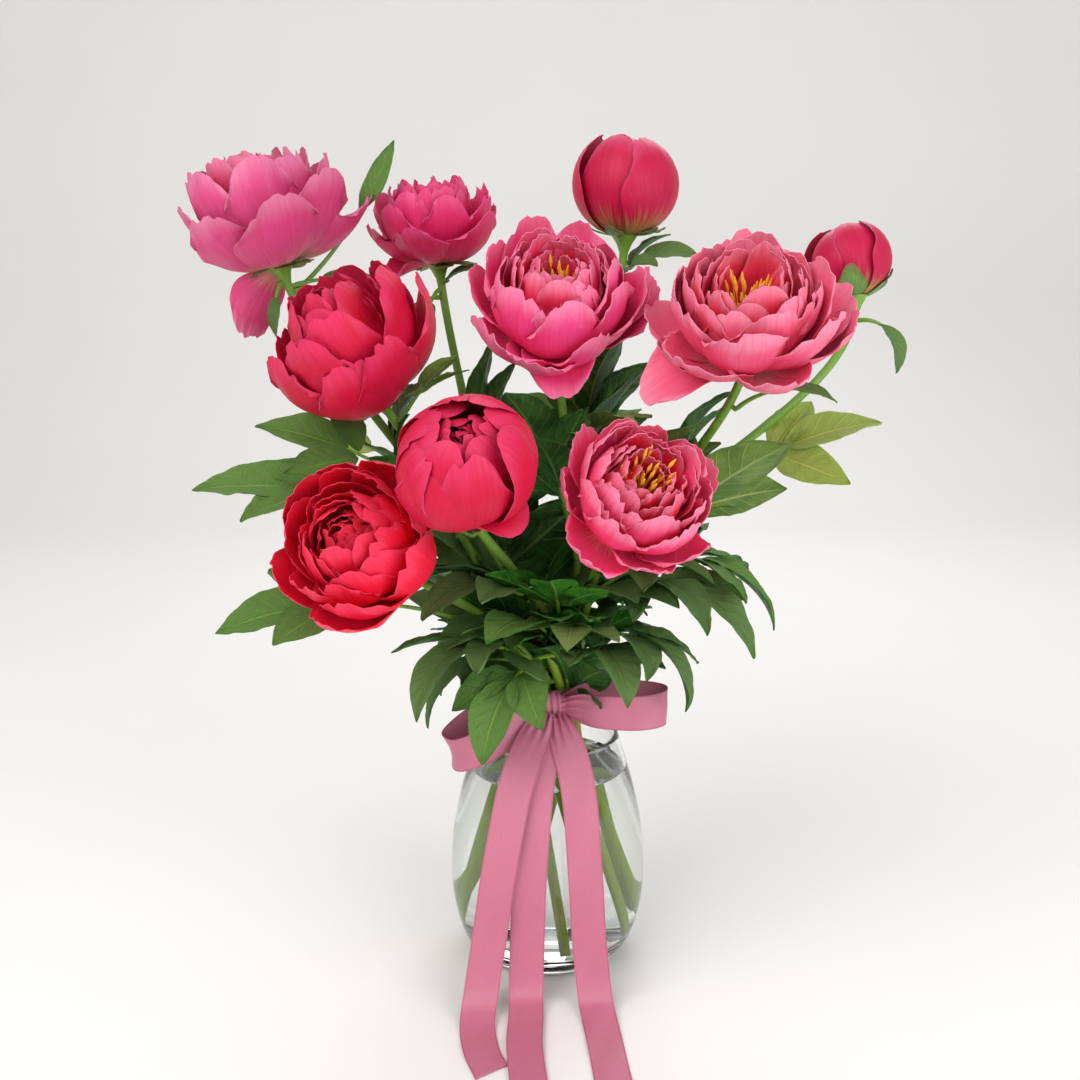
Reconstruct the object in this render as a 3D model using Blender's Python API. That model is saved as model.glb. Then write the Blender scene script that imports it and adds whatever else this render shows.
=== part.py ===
"""Ten peonies with their leaves in a round glass vase of water, the stems tied with a ribbon bow.

Metres, +Z up. The origin is the centre of the vase's underside. The front of the bunch faces -Y.
"""

import math
from collections import namedtuple

import bmesh
import bpy
from mathutils import Matrix, Vector

# ---------------------------------------------------------------- driving dimensions
GAP = 0.0003  # between pieces that touch
MERGE = 1e-6

VASE_HEIGHT = 0.176
VASE_RIM_RADIUS = 0.053
VASE_BELLY_RADIUS = 0.075
VASE_BELLY_HEIGHT = 0.066
VASE_FOOT_RADIUS = 0.050
VASE_WALL = 0.003
VASE_FLOOR = 0.012
CORNER_INSET = 0.0036  # of the inside corner between the wall and the floor
WATER_LEVEL = 0.150
VASE_SEGMENTS = 36

STEM_RADIUS = 0.0038
STEM_FOOT_HEIGHT = 0.020
STEM_SPREAD = 0.27  # sideways run for each metre of height, in the vase
TIE_HEIGHT = 0.204
TIE_RADIUS = 0.021  # of the ring that the stems stand on, where the ribbon binds them
RISE = 0.42  # how far a stem keeps straight on past the tie, as a share of its way to the bloom
NECK = 0.24  # how far below the bloom it starts to turn, likewise
CALYX_FLARE = 3.2  # the calyx's radius, in stem radii

RIBBON_WIDTH = 0.025
RIBBON_THICKNESS = 0.0008
BAND_RADIUS = 0.0275
LEAF_THICKNESS = 0.0012
PETAL_THICKNESS = 0.0016

# ---------------------------------------------------------------- the flowers
# middle: the middle of the bloom. faces: the way it opens. heading: the side to which its stem
# leans at the tie, in degrees from +X.
Flower = namedtuple("Flower", "name middle faces radius depth form heading")
FLOWERS = [
    Flower("far_left", (-0.202, 0.015, 0.557), (-0.26, -0.04, 0.96), 0.066, 0.068, "cup", 156),
    Flower("back_left", (-0.086, 0.065, 0.555), (-0.10, -0.06, 0.99), 0.051, 0.058, "cup", 126),
    Flower("top_bud", (0.058, 0.070, 0.579), (0.0, 0.0, 1.0), 0.042, 0.066, "bud", 60),
    Flower("right_bud", (0.224, 0.050, 0.531), (-0.12, 0.20, 0.97), 0.032, 0.062, "bud", 24),
    Flower("centre_open", (0.006, -0.035, 0.500), (0.0, -0.60, 0.80), 0.062, 0.070, "open", 306),
    Flower("right_open", (0.130, -0.085, 0.495), (-0.06, -0.58, 0.81), 0.070, 0.074, "open", 348),
    Flower("left_cup", (-0.135, -0.040, 0.466), (-0.40, -0.36, 0.84), 0.059, 0.076, "cup", 216),
    Flower("front_cup", (-0.054, -0.145, 0.404), (0.05, -0.75, 0.66), 0.044, 0.070, "cup", 246),
    Flower("low_left", (-0.125, -0.108, 0.345), (-0.28, -0.82, 0.50), 0.053, 0.076, "open", 186),
    Flower("low_right", (0.058, -0.130, 0.386), (0.26, -0.74, 0.62), 0.054, 0.076, "open", 276),
]

# Half outlines as (share of the radius, share of the depth), from the calyx to the heart. Each
# peak is the rim of one row of petals, and each dip is the gap between two rows.
OUTLINES = {
    "open": [
        (0.00, 0.00), (0.24, 0.00), (0.64, 0.14), (0.92, 0.44), (1.00, 0.76), (0.82, 0.50),
        (0.85, 0.92), (0.62, 0.60), (0.62, 1.00), (0.34, 0.52), (0.00, 0.46),
    ],
    "cup": [
        (0.00, 0.00), (0.26, 0.00), (0.72, 0.14), (0.98, 0.44), (0.97, 0.76), (0.80, 0.60),
        (0.76, 0.93), (0.56, 0.70), (0.48, 1.00), (0.24, 0.78), (0.00, 0.82),
    ],
    "bud": [
        (0.00, 0.00), (0.30, 0.00), (0.78, 0.16), (1.00, 0.48), (0.88, 0.78), (0.56, 0.96),
        (0.48, 0.88), (0.26, 1.00), (0.00, 0.92),
    ],
}
PETALS_ROUND = 6  # petals in a row
SCALLOP = 0.045  # how far each row's edge waves in and out, as a share of the radius
BLOOM_SEGMENTS = 24

# The loose outer petals that hang below a bloom: the flower, the side of the bloom that it hangs
# from in degrees from +X, how far it drops below the horizon, its roll about its own line, length
# and width.
Guard = namedtuple("Guard", "flower side drop roll length width")
GUARDS = [
    Guard("far_left", 202, 60, 62, 0.050, 0.032),
    Guard("back_left", 190, 30, 0, 0.042, 0.034),
    Guard("centre_open", 285, 40, 0, 0.050, 0.040),
    Guard("right_open", 200, 28, 0, 0.066, 0.046),
    Guard("front_cup", 330, 12, 0, 0.044, 0.036),
]
STAMEN_RADIUS = 0.014
STAMEN_HEIGHT = 0.012

# ---------------------------------------------------------------- the leaves
# Each is one compound leaf on a stalk. It leaves its stem at a height and runs to the tip of its
# end leaflet along an arc. Arch is the arc's turn in degrees: it rises first and droops at the
# end. Size is the end leaflet's length, slim a leaflet's width as a share of its length, and roll
# turns the leaf about its own line.
Leaf = namedtuple("Leaf", "name stem height tip arch roll size slim leaflets")
LEAVES = [
    Leaf("left_broad", "left_cup", 0.335, (-0.250, -0.045, 0.376), 30, -25, 0.084, 0.42, 3),
    Leaf("left_upright", "left_cup", 0.364, (-0.208, -0.022, 0.420), 20, -40, 0.070, 0.36, 3),
    Leaf("left_low", "low_left", 0.270, (-0.233, -0.070, 0.274), 55, -20, 0.080, 0.44, 3),
    Leaf("left_yellow", "far_left", 0.366, (-0.190, 0.050, 0.404), 40, 15, 0.062, 0.42, 3),
    Leaf("front_left_hang", "low_left", 0.243, (-0.100, -0.105, 0.224), 110, 0, 0.084, 0.30, 5),
    Leaf("front_hang", "front_cup", 0.246, (-0.046, -0.106, 0.190), 100, 0, 0.066, 0.42, 3),
    Leaf("front_mound", "low_right", 0.236, (0.012, -0.112, 0.276), 80, 0, 0.054, 0.42, 3),
    Leaf("front_right_hang", "low_right", 0.256, (0.110, -0.072, 0.220), 95, -10, 0.074, 0.38, 5),
    Leaf("right_hang", "right_open", 0.285, (0.152, -0.040, 0.246), 100, 0, 0.088, 0.32, 5),
    Leaf("right_far_hang", "right_bud", 0.290, (0.182, 0.000, 0.262), 95, 0, 0.086, 0.32, 5),
    Leaf("right_pale", "right_open", 0.300, (0.166, -0.060, 0.410), 20, -35, 0.092, 0.44, 3),
    Leaf("right_yellow", "right_bud", 0.345, (0.244, 0.010, 0.418), 25, -35, 0.074, 0.44, 3),
    Leaf("middle_upright", "centre_open", 0.310, (-0.008, -0.082, 0.418), 30, 0, 0.070, 0.40, 3),
    Leaf("middle_front", "front_cup", 0.252, (0.000, -0.128, 0.326), 45, 0, 0.066, 0.40, 3),
    Leaf("under_centre", "centre_open", 0.395, (0.060, -0.062, 0.422), 50, 0, 0.056, 0.32, 3),
    Leaf("far_left_top", "far_left", 0.505, (-0.114, 0.038, 0.612), -50, 50, 0.056, 0.24, 1),
    Leaf("back_left_leaf", "back_left", 0.500, (-0.106, 0.042, 0.472), 90, 0, 0.036, 0.34, 1),
    Leaf("right_bud_leaf", "right_bud", 0.484, (0.256, 0.010, 0.446), 110, 0, 0.044, 0.32, 1),
    Leaf("back_low", "back_left", 0.262, (-0.084, 0.106, 0.234), 85, 0, 0.084, 0.32, 5),
    Leaf("back_right_low", "top_bud", 0.266, (0.066, 0.126, 0.244), 85, 0, 0.084, 0.32, 5),
    Leaf("back_left_low", "far_left", 0.270, (-0.135, 0.075, 0.250), 85, 0, 0.084, 0.32, 5),
    Leaf("back_high", "top_bud", 0.375, (0.036, 0.142, 0.430), 45, 0, 0.084, 0.36, 5),
]
# Leaflets of a leaf: the distance back from the stalk's end as a share of the size, the angle off
# the stalk's line, and the share of the size.
LEAFLET_PLAN = {
    1: [(0.0, 0, 1.0)],
    3: [(0.0, 0, 1.0), (0.10, 46, 0.82), (0.10, -46, 0.82)],
    5: [(0.0, 0, 1.0), (0.08, 40, 0.86), (0.08, -40, 0.86), (0.26, 68, 0.66), (0.26, -68, 0.66)],
}
STALK_WIDTH = 0.0044
# A leaflet's outline: (share of its length, share of its half width).
LEAFLET_OUTLINE = [(0.0, 0.16), (0.28, 0.82), (0.55, 1.0), (0.82, 0.56), (1.0, 0.05)]


# ---------------------------------------------------------------- helpers
def clear_scene():
    for old in list(bpy.data.objects):
        bpy.data.objects.remove(old, do_unlink=True)


def finish(name, colour, roughness, alpha=1.0, transmission=0.0):
    """A Principled material."""
    made = bpy.data.materials.new(name)
    made.use_nodes = True
    shader = made.node_tree.nodes["Principled BSDF"]
    shader.inputs["Base Color"].default_value = (*colour, 1.0)
    shader.inputs["Roughness"].default_value = roughness
    shader.inputs["Metallic"].default_value = 0.0
    shader.inputs["Alpha"].default_value = alpha
    shader.inputs["Transmission Weight"].default_value = transmission
    made.diffuse_color = (*colour, alpha)
    return made


def add(name, mesh_or_bmesh, material):
    """Puts a mesh in the scene as one named object."""
    mesh = mesh_or_bmesh
    if isinstance(mesh, bmesh.types.BMesh):
        mesh = bpy.data.meshes.new(name)
        mesh_or_bmesh.to_mesh(mesh)
        mesh_or_bmesh.free()
    thing = bpy.data.objects.new(name, mesh)
    thing.data.materials.append(material)
    bpy.context.scene.collection.objects.link(thing)
    return thing


def turned(profile, segments):
    """A closed solid spun round Z from a half outline that runs from axis to axis."""
    bm = bmesh.new()
    points = [bm.verts.new((r, 0.0, z)) for r, z in profile]
    edges = [bm.edges.new(pair) for pair in zip(points, points[1:])]
    bmesh.ops.spin(
        bm, geom=points + edges, cent=(0, 0, 0), axis=(0, 0, 1), angle=2 * math.pi, steps=segments
    )
    bmesh.ops.remove_doubles(bm, verts=bm.verts, dist=MERGE)
    bmesh.ops.recalc_face_normals(bm, faces=bm.faces)
    return bm


def smooth(thing, angle=40):
    thing.data.shade_smooth()
    thing.data.set_sharp_from_angle(angle=math.radians(angle))
    return thing


def facing(direction, place):
    """The matrix that stands a piece's Z along a direction, with its foot at a place."""
    return Matrix.Translation(place) @ Vector(direction).to_track_quat("Z", "Y").to_matrix().to_4x4()


def compass(degrees, climb=0.0):
    """The unit direction at a heading from +X, raised by a climb, both in degrees."""
    turn, rise = math.radians(degrees), math.radians(climb)
    return Vector((math.cos(turn) * math.cos(rise), math.sin(turn) * math.cos(rise), math.sin(rise)))


def smooth_route(points, per_span):
    """A Catmull-Rom curve through a few points."""
    points = [Vector(p) for p in points]
    padded = [2 * points[0] - points[1], *points, 2 * points[-1] - points[-2]]
    route = []
    for i in range(1, len(padded) - 2):
        a, b, c, d = padded[i - 1 : i + 3]
        for step in range(per_span):
            t = step / per_span
            route.append(
                0.5 * ((2 * b) + (c - a) * t + (2 * a - 5 * b + 4 * c - d) * t**2
                       + (3 * b - a - 3 * c + d) * t**3)
            )
    return route + [points[-1]]


def strip_sheet(rails):
    """A sheet of quads between rails, where each rail is one line of points across the strip."""
    bm = bmesh.new()
    rows = [[bm.verts.new(p) for p in rail] for rail in rails]
    for near, far in zip(rows, rows[1:]):
        for i in range(len(near) - 1):
            bm.faces.new((near[i], near[i + 1], far[i + 1], far[i]))
    return bm


def thicken(thing, thickness, offset=0.0):
    skin = thing.modifiers.new("thickness", "SOLIDIFY")
    skin.thickness = thickness
    skin.offset = offset
    skin.use_even_offset = False
    return thing


# ---------------------------------------------------------------- vase and water
def vase_radius(height):
    """The vase's outer radius: a quarter ellipse up to the belly, and a cosine in to the rim."""
    if height < VASE_BELLY_HEIGHT:
        rise = 1 - height / VASE_BELLY_HEIGHT
        return VASE_FOOT_RADIUS + (VASE_BELLY_RADIUS - VASE_FOOT_RADIUS) * math.sqrt(1 - rise**2)
    share = (height - VASE_BELLY_HEIGHT) / (VASE_HEIGHT - VASE_BELLY_HEIGHT)
    return VASE_RIM_RADIUS + (VASE_BELLY_RADIUS - VASE_RIM_RADIUS) * math.cos(share * math.pi / 2)


def heights(low, high, count):
    return [low + (high - low) * i / (count - 1) for i in range(count)]


def inner_profile(low, high, count, inset):
    """Points up the inside of the wall, standing off it by an inset. The lowest stands further
    in, which rounds the corner where the wall meets the floor."""
    points = [(vase_radius(z) - VASE_WALL - inset, z) for z in heights(low, high, count)]
    corner, floor = points[0]
    return [(corner - CORNER_INSET, floor), *points[1:]]


def build_vase(glass):
    outer = [(0.0, 0.0), (VASE_FOOT_RADIUS, 0.0)]
    outer += [(vase_radius(z), z) for z in heights(0.004, VASE_HEIGHT, 12)]
    inner = inner_profile(VASE_FLOOR, VASE_HEIGHT, 11, 0.0)[::-1]
    bm = turned(outer + inner + [(0.0, VASE_FLOOR)], VASE_SEGMENTS)
    return smooth(add("glass_vase", bm, glass))


def build_water(water, stems):
    side = inner_profile(VASE_FLOOR + GAP, WATER_LEVEL, 9, GAP)
    bm = turned([(0.0, VASE_FLOOR + GAP), *side, (0.0, WATER_LEVEL)], VASE_SEGMENTS)
    body = add("water", bm, water)
    for i, route in enumerate(stems):
        cutter = tube_mesh(f"channel_{i}", extended(route, 0.0004), STEM_RADIUS + 0.0005)
        cutter.hide_render = True
        cutter.display_type = "WIRE"
        cut = body.modifiers.new(f"channel_{i}", "BOOLEAN")
        cut.operation = "DIFFERENCE"
        cut.object = cutter
        cut.solver = "EXACT"
    return smooth(body)


# ---------------------------------------------------------------- stems
def bloom_base(flower):
    """The place where a bloom sits on its calyx."""
    return Vector(flower.middle) - Vector(flower.faces).normalized() * flower.depth / 2


def stem_route(flower):
    """Points from the cut end in the vase, past the tie, and up to the bloom. Stems in the vase
    are straight and lean the same way round, so that they cross without touching."""
    lean = compass(flower.heading)
    tie = Vector((-lean.y, lean.x, 0)) * TIE_RADIUS + Vector((0, 0, TIE_HEIGHT))
    way = (lean * STEM_SPREAD + Vector((0, 0, 1))).normalized()
    foot = tie - way * (TIE_HEIGHT - STEM_FOOT_HEIGHT) / way.z
    top, axis = bloom_base(flower), Vector(flower.faces).normalized()
    reach = (top - tie).length
    control = (tie, tie + way * reach * RISE, top - axis * reach * NECK, top)
    route = [foot, foot.lerp(tie, 0.5)]
    steps = 9
    for i in range(steps):
        t = i / steps
        weights = ((1 - t) ** 3, 3 * t * (1 - t) ** 2, 3 * t**2 * (1 - t), t**3)
        route.append(sum((w * c for w, c in zip(weights, control)), Vector()))
    return route + [top - axis * 0.012, top - axis * 0.003, top]


def stem_curve(name, route, radius, flared):
    curve = bpy.data.curves.new(name, "CURVE")
    curve.dimensions = "3D"
    curve.bevel_depth = radius
    curve.bevel_resolution = 1
    curve.use_fill_caps = True
    spline = curve.splines.new("POLY")
    spline.points.add(len(route) - 1)
    for point, place in zip(spline.points, route):
        point.co = (*place, 1.0)
    if flared:
        spline.points[-2].radius = CALYX_FLARE * 0.8
        spline.points[-1].radius = CALYX_FLARE
    return curve


def build_stem(flower, green):
    name = f"stem_{flower.name}"
    return add(name, stem_curve(name, stem_route(flower), STEM_RADIUS, True), green)


def extended(route, more):
    """The route with its lower end moved on a little, so that a channel clears the stem's end."""
    back = (route[0] - route[1]).normalized()
    return [route[0] + back * more, *route[1:6]]


def tube_mesh(name, route, radius):
    """A stem's tube as a closed mesh, because a Boolean takes no curve."""
    curve = bpy.data.objects.new(name + "_line", stem_curve(name, route, radius, False))
    mesh = bpy.data.meshes.new_from_object(curve)
    bpy.data.objects.remove(curve)
    bm = bmesh.new()
    bm.from_mesh(mesh)
    bmesh.ops.remove_doubles(bm, verts=bm.verts, dist=MERGE)
    bmesh.ops.recalc_face_normals(bm, faces=bm.faces)
    bpy.data.meshes.remove(mesh)
    made = bpy.data.meshes.new(name)
    bm.to_mesh(made)
    bm.free()
    thing = bpy.data.objects.new(name, made)
    bpy.context.scene.collection.objects.link(thing)
    return thing


# ---------------------------------------------------------------- blooms
def build_petals(flower, colour):
    """The bloom's rows of petals as one lobed body: a spun outline whose rims are scalloped."""
    outline = OUTLINES[flower.form]
    bm = turned([(r * flower.radius, d * flower.depth) for r, d in outline], BLOOM_SEGMENTS)
    rims = [i for i in range(1, len(outline) - 1) if outline[i - 1][1] < outline[i][1] > outline[i + 1][1]]
    for vert in bm.verts:
        around = math.atan2(vert.co.y, vert.co.x)
        for row, i in enumerate(rims):
            near_radius = abs(vert.co.xy.length - outline[i][0] * flower.radius) < 1e-5
            if near_radius and abs(vert.co.z - outline[i][1] * flower.depth) < 1e-5:
                wave = math.cos(PETALS_ROUND * around + row * math.pi)
                vert.co.xy *= 1 + SCALLOP * wave
                vert.co.z += SCALLOP * wave * flower.depth
                break
    thing = add(f"petals_{flower.name}", bm, colour)
    base = bloom_base(flower) + Vector(flower.faces).normalized() * GAP
    thing.matrix_world = facing(flower.faces, base)
    return smooth(thing, 30)


def build_guard_petal(guard, flower, colour):
    """A loose outer petal: a spoon-shaped sheet that leaves the calyx and hangs."""
    axis = Vector(flower.faces).normalized()
    out = compass(guard.side, -guard.drop)
    across = Matrix.Rotation(math.radians(guard.roll), 3, out) @ out.cross(axis).normalized()
    back = across.cross(out).normalized()
    start = bloom_base(flower) - axis * 0.004 + out * (CALYX_FLARE * STEM_RADIUS + 0.004)
    stations = [(0.0, 0.30), (0.3, 0.78), (0.62, 1.0), (0.88, 0.72), (1.0, 0.30)]
    rails = []
    for along, wide in stations:
        middle = start + out * guard.length * along - back * 0.010 * math.sin(math.pi * along)
        half = across * guard.width * wide / 2
        lift = back * 0.004 * wide
        rails.append([middle - half + lift, middle, middle + half + lift])
    bm = strip_sheet(rails)
    return smooth(thicken(add(f"guard_petal_{flower.name}", bm, colour), PETAL_THICKNESS))


def build_stamens(flower, yellow):
    """The tuft of stamens, which stands in the bowl of an open bloom."""
    heart = OUTLINES["open"][-1][1] * flower.depth
    profile = [(0.0, 0.0), (0.55, 0.04), (0.8, 0.6), (1.0, 1.0), (0.6, 0.85), (0.0, 0.95)]
    bm = turned([(r * STAMEN_RADIUS, z * STAMEN_HEIGHT) for r, z in profile], 12)
    axis = Vector(flower.faces).normalized()
    lift = heart + 3 * GAP + 0.0022
    thing = add(f"stamens_{flower.name}", bm, yellow)
    thing.matrix_world = facing(axis, bloom_base(flower) + axis * lift)
    return smooth(thing)


# ---------------------------------------------------------------- leaves
def place_on_stem(route, height):
    """The place and direction of a stem where it passes a height."""
    for low, high in zip(route, route[1:]):
        if low.z <= height < high.z:
            share = (height - low.z) / (high.z - low.z)
            return low.lerp(high, share), (high - low).normalized()
    raise ValueError(f"the stem doesn't reach {height}")


def leaf_flat(leaf, stalk):
    """The leaf pressed flat, its stalk along X: a sheet of quads with a raised edge on each
    leaflet, which leaves its midrib as a valley."""
    bm = bmesh.new()
    half = STALK_WIDTH / 2
    plan = [(stalk - back * leaf.size, angle, share) for back, angle, share in LEAFLET_PLAN[leaf.leaflets]]
    joints = sorted({place for place, angle, _ in plan if angle})
    stops = [0.0, stalk * 0.4]
    for place in joints:
        stops += [place - half, place + half]
    stops.append(stalk)
    left = [bm.verts.new((x, half, 0)) for x in stops]
    right = [bm.verts.new((x, -half, 0)) for x in stops]
    for i in range(len(stops) - 1):
        bm.faces.new((right[i], right[i + 1], left[i + 1], left[i]))
    for place, angle, share in plan:
        if angle == 0:
            roots, at = (right[-1], left[-1]), Vector((stalk, 0, 0))
        else:
            i = 2 + 2 * joints.index(place)
            side = left if angle > 0 else right
            roots = (side[i + 1], side[i]) if angle > 0 else (side[i], side[i + 1])
            at = Vector((place, half if angle > 0 else -half, 0))
        add_leaflet(bm, roots, at, math.radians(angle), leaf.size * share, leaf.slim)
    bmesh.ops.recalc_face_normals(bm, faces=bm.faces)
    return bm


def add_leaflet(bm, roots, at, angle, length, slim):
    """Grows one leaflet out of an edge of the stalk. Its roots are the edge's two ends, right
    then left as seen along the leaflet."""
    along = Vector((math.cos(angle), math.sin(angle), 0))
    left = Vector((-along.y, along.x, 0))
    half_width = length * slim / 2
    row = None
    for share, wide in LEAFLET_OUTLINE[1:]:
        middle = at + along * (length * share + 0.004)
        edge = left * half_width * wide
        rise = Vector((0, 0, half_width * wide * 0.35))
        if share == 1.0:
            new = (bm.verts.new(middle - edge), bm.verts.new(middle + edge))
            bm.faces.new((row[0], new[0], new[1], row[2], row[1]))
            return
        new = (
            bm.verts.new(middle - edge + rise),
            bm.verts.new(middle),
            bm.verts.new(middle + edge + rise),
        )
        if row is None:
            bm.faces.new((roots[0], new[0], new[1]))
            bm.faces.new((roots[0], new[1], roots[1]))
            bm.faces.new((roots[1], new[1], new[2]))
        else:
            bm.faces.new((row[0], new[0], new[1], row[1]))
            bm.faces.new((row[1], new[1], new[2], row[2]))
        row = new


def leaf_start(leaf, route):
    """The point just clear of its stem where a leaf's stalk starts, towards the leaf's tip."""
    place, along = place_on_stem(route, leaf.height)
    out = Vector(leaf.tip) - place
    away = (out - along * out.dot(along)).normalized()
    return place + away * (STEM_RADIUS + 0.0024)


def build_leaf(leaf, route, green):
    """Bends the flat leaf along its arc, from its start to its tip."""
    start = leaf_start(leaf, route)
    chord = Vector(leaf.tip) - start
    arch = math.radians(leaf.arch)
    radius = chord.length / (2 * math.sin(arch / 2))
    bm = leaf_flat(leaf, radius * arch - leaf.size - 0.004)
    for vert in bm.verts:
        turn = vert.co.x / radius - arch / 2
        reach = radius + vert.co.z
        vert.co = (
            reach * math.sin(turn) + radius * math.sin(arch / 2),
            vert.co.y,
            reach * math.cos(turn) - radius * math.cos(arch / 2),
        )
    thing = add(f"leaf_{leaf.name}", bm, green)
    forward = chord.normalized()
    sideways = Vector((0, 0, 1)).cross(forward).normalized()
    turn = Matrix((forward, sideways, forward.cross(sideways))).transposed().to_4x4()
    roll = Matrix.Rotation(math.radians(leaf.roll), 4, "X")
    thing.matrix_world = Matrix.Translation(start) @ turn @ roll
    return thicken(thing, LEAF_THICKNESS)


# ---------------------------------------------------------------- ribbon
def build_ribbon(name, points, across, satin, per_span=4):
    """A length of ribbon along a smooth route. Across gives the strip's width direction at its
    start and at its end, and it turns evenly between them."""
    route = smooth_route(points, per_span)
    first, last = Vector(across[0]).normalized(), Vector(across[1]).normalized()
    rails = []
    for i, place in enumerate(route):
        half = first.lerp(last, i / (len(route) - 1)).normalized() * RIBBON_WIDTH / 2
        rails.append([place - half, place + half])
    return smooth(thicken(add(name, strip_sheet(rails), satin), RIBBON_THICKNESS), 60)


def build_band(satin):
    """The ribbon's turn round the bound stems: a ring with a gathered waist."""
    half = RIBBON_WIDTH / 2
    inner = [(BAND_RADIUS, half), (BAND_RADIUS, -half)]
    outer = [
        (BAND_RADIUS + RIBBON_THICKNESS + 0.0006, -half),
        (BAND_RADIUS + RIBBON_THICKNESS, 0.0),
        (BAND_RADIUS + RIBBON_THICKNESS + 0.0006, half),
    ]
    bm = bmesh.new()
    ring = [bm.verts.new((r, 0, TIE_HEIGHT + z)) for r, z in inner + outer]
    edges = [bm.edges.new((ring[i - 1], ring[i])) for i in range(len(ring))]
    bmesh.ops.spin(
        bm, geom=ring + edges, cent=(0, 0, 0), axis=(0, 0, 1), angle=2 * math.pi, steps=32
    )
    bmesh.ops.remove_doubles(bm, verts=bm.verts, dist=MERGE)
    bmesh.ops.recalc_face_normals(bm, faces=bm.faces)
    return smooth(add("ribbon_band", bm, satin))


KNOT = Vector((0.004, -0.0372, 0.2085))
KNOT_HALF = Vector((0.0085, 0.0065, 0.011))


def build_knot(satin):
    """The knot: a small pillow on the front of the band."""
    bm = bmesh.new()
    bmesh.ops.create_cube(bm, size=2.0)
    bmesh.ops.bevel(bm, geom=bm.edges[:], offset=0.55, segments=2, profile=0.5, affect="EDGES")
    for vert in bm.verts:
        vert.co = KNOT + Vector(a * b for a, b in zip(vert.co, KNOT_HALF))
    return smooth(add("bow_knot", bm, satin), 60)


def build_bow(satin):
    right, left = KNOT + Vector((0.0125, 0, 0)), KNOT - Vector((0.0125, 0, 0))
    up = (0, 0, 1)
    build_ribbon(
        "bow_loop_right",
        [
            right + Vector((0, -0.003, 0)), right + Vector((0.020, -0.012, -0.001)),
            right + Vector((0.050, -0.014, -0.001)), right + Vector((0.069, -0.006, 0.000)),
            right + Vector((0.066, 0.006, 0.002)), right + Vector((0.040, 0.012, 0.003)),
            right + Vector((0.014, 0.008, 0.003)), right + Vector((0, 0.003, 0.001)),
        ],
        ((0.05, 0, 1), (0.0, 0.25, 1)), satin, 3,
    )
    build_ribbon(
        "bow_loop_left",
        [
            left + Vector((0, -0.003, -0.002)), left + Vector((-0.016, -0.013, -0.012)),
            left + Vector((-0.040, -0.018, -0.026)), left + Vector((-0.060, -0.012, -0.034)),
            left + Vector((-0.064, 0.001, -0.030)), left + Vector((-0.044, 0.010, -0.016)),
            left + Vector((-0.018, 0.008, -0.004)), left + Vector((0, 0.003, 0.003)),
        ],
        ((-0.35, 0, 1), (-0.2, 0.2, 1)), satin, 3,
    )
    low = KNOT - Vector((0, 0, KNOT_HALF.z))
    wide = (1, 0, 0)
    build_ribbon(
        "ribbon_tail_left",
        [
            low + Vector((-0.010, -0.014, 0.002)), (-0.022, -0.072, 0.165), (-0.034, -0.0905, 0.110),
            (-0.042, -0.0935, 0.055), (-0.048, -0.103, 0.016), (-0.050, -0.122, 0.0022),
            (-0.046, -0.150, 0.0008), (-0.038, -0.176, 0.0008),
        ],
        ((1, -0.10, 0.05), (1, 0.15, 0)), satin,
    )
    build_ribbon(
        "ribbon_tail_middle",
        [
            low + Vector((-0.004, -0.010, -0.002)), (-0.008, -0.068, 0.160), (-0.013, -0.0850, 0.105),
            (-0.015, -0.0870, 0.055), (-0.016, -0.094, 0.014), (-0.016, -0.112, 0.0032),
            (-0.0165, -0.150, 0.0026), (-0.012, -0.200, 0.0008), (-0.008, -0.236, 0.0008),
        ],
        (wide, wide), satin,
    )
    build_ribbon(
        "ribbon_tail_right",
        [
            low + Vector((0.006, -0.012, -0.001)), (0.021, -0.070, 0.160), (0.026, -0.0862, 0.105),
            (0.029, -0.0885, 0.055), (0.033, -0.096, 0.014), (0.036, -0.114, 0.0020),
            (0.040, -0.155, 0.0008), (0.043, -0.200, 0.0008), (0.044, -0.244, 0.0008),
        ],
        ((1, -0.05, 0), (1, -0.06, 0)), satin,
    )


# ---------------------------------------------------------------- the whole bunch
def main():
    clear_scene()
    glass = finish("glass", (0.86, 0.93, 0.91), 0.03, 0.35, 1.0)
    water = finish("water", (0.90, 0.96, 0.95), 0.02, 0.30, 1.0)
    satin = finish("satin", (0.84, 0.33, 0.45), 0.35)
    green = finish("leaf_green", (0.07, 0.20, 0.05), 0.45)
    stalk = finish("stem_green", (0.22, 0.36, 0.07), 0.5)
    yellow = finish("stamen", (0.92, 0.60, 0.10), 0.6)
    coral = finish("petal_coral", (0.80, 0.06, 0.14), 0.5)
    pink = finish("petal_pink", (0.86, 0.16, 0.30), 0.5)
    by_name = {flower.name: flower for flower in FLOWERS}
    routes = {flower.name: stem_route(flower) for flower in FLOWERS}

    build_vase(glass)
    build_water(water, routes.values())
    for flower in FLOWERS:
        build_stem(flower, stalk)
        build_petals(flower, coral if flower.name in ("left_cup", "front_cup", "low_left") else pink)
        if flower.form == "open":
            build_stamens(flower, yellow)
    for guard in GUARDS:
        build_guard_petal(guard, by_name[guard.flower], pink)
    for leaf in LEAVES:
        build_leaf(leaf, routes[leaf.stem], green)
    build_band(satin)
    build_knot(satin)
    build_bow(satin)


main()
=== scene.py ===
# %% [markdown]
# # Ten peonies in a glass vase
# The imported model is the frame: it says where each bloom, stem, leaf and length of ribbon is, and
# how big the vase is. This script grows the real surfaces around it. Every length is in metres,
# +Z is up, and the origin is the centre of the vase's underside.

# %% The frame
import itertools
import math
from collections import namedtuple

import bmesh
import bpy
from mathutils import Matrix, Vector


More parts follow.
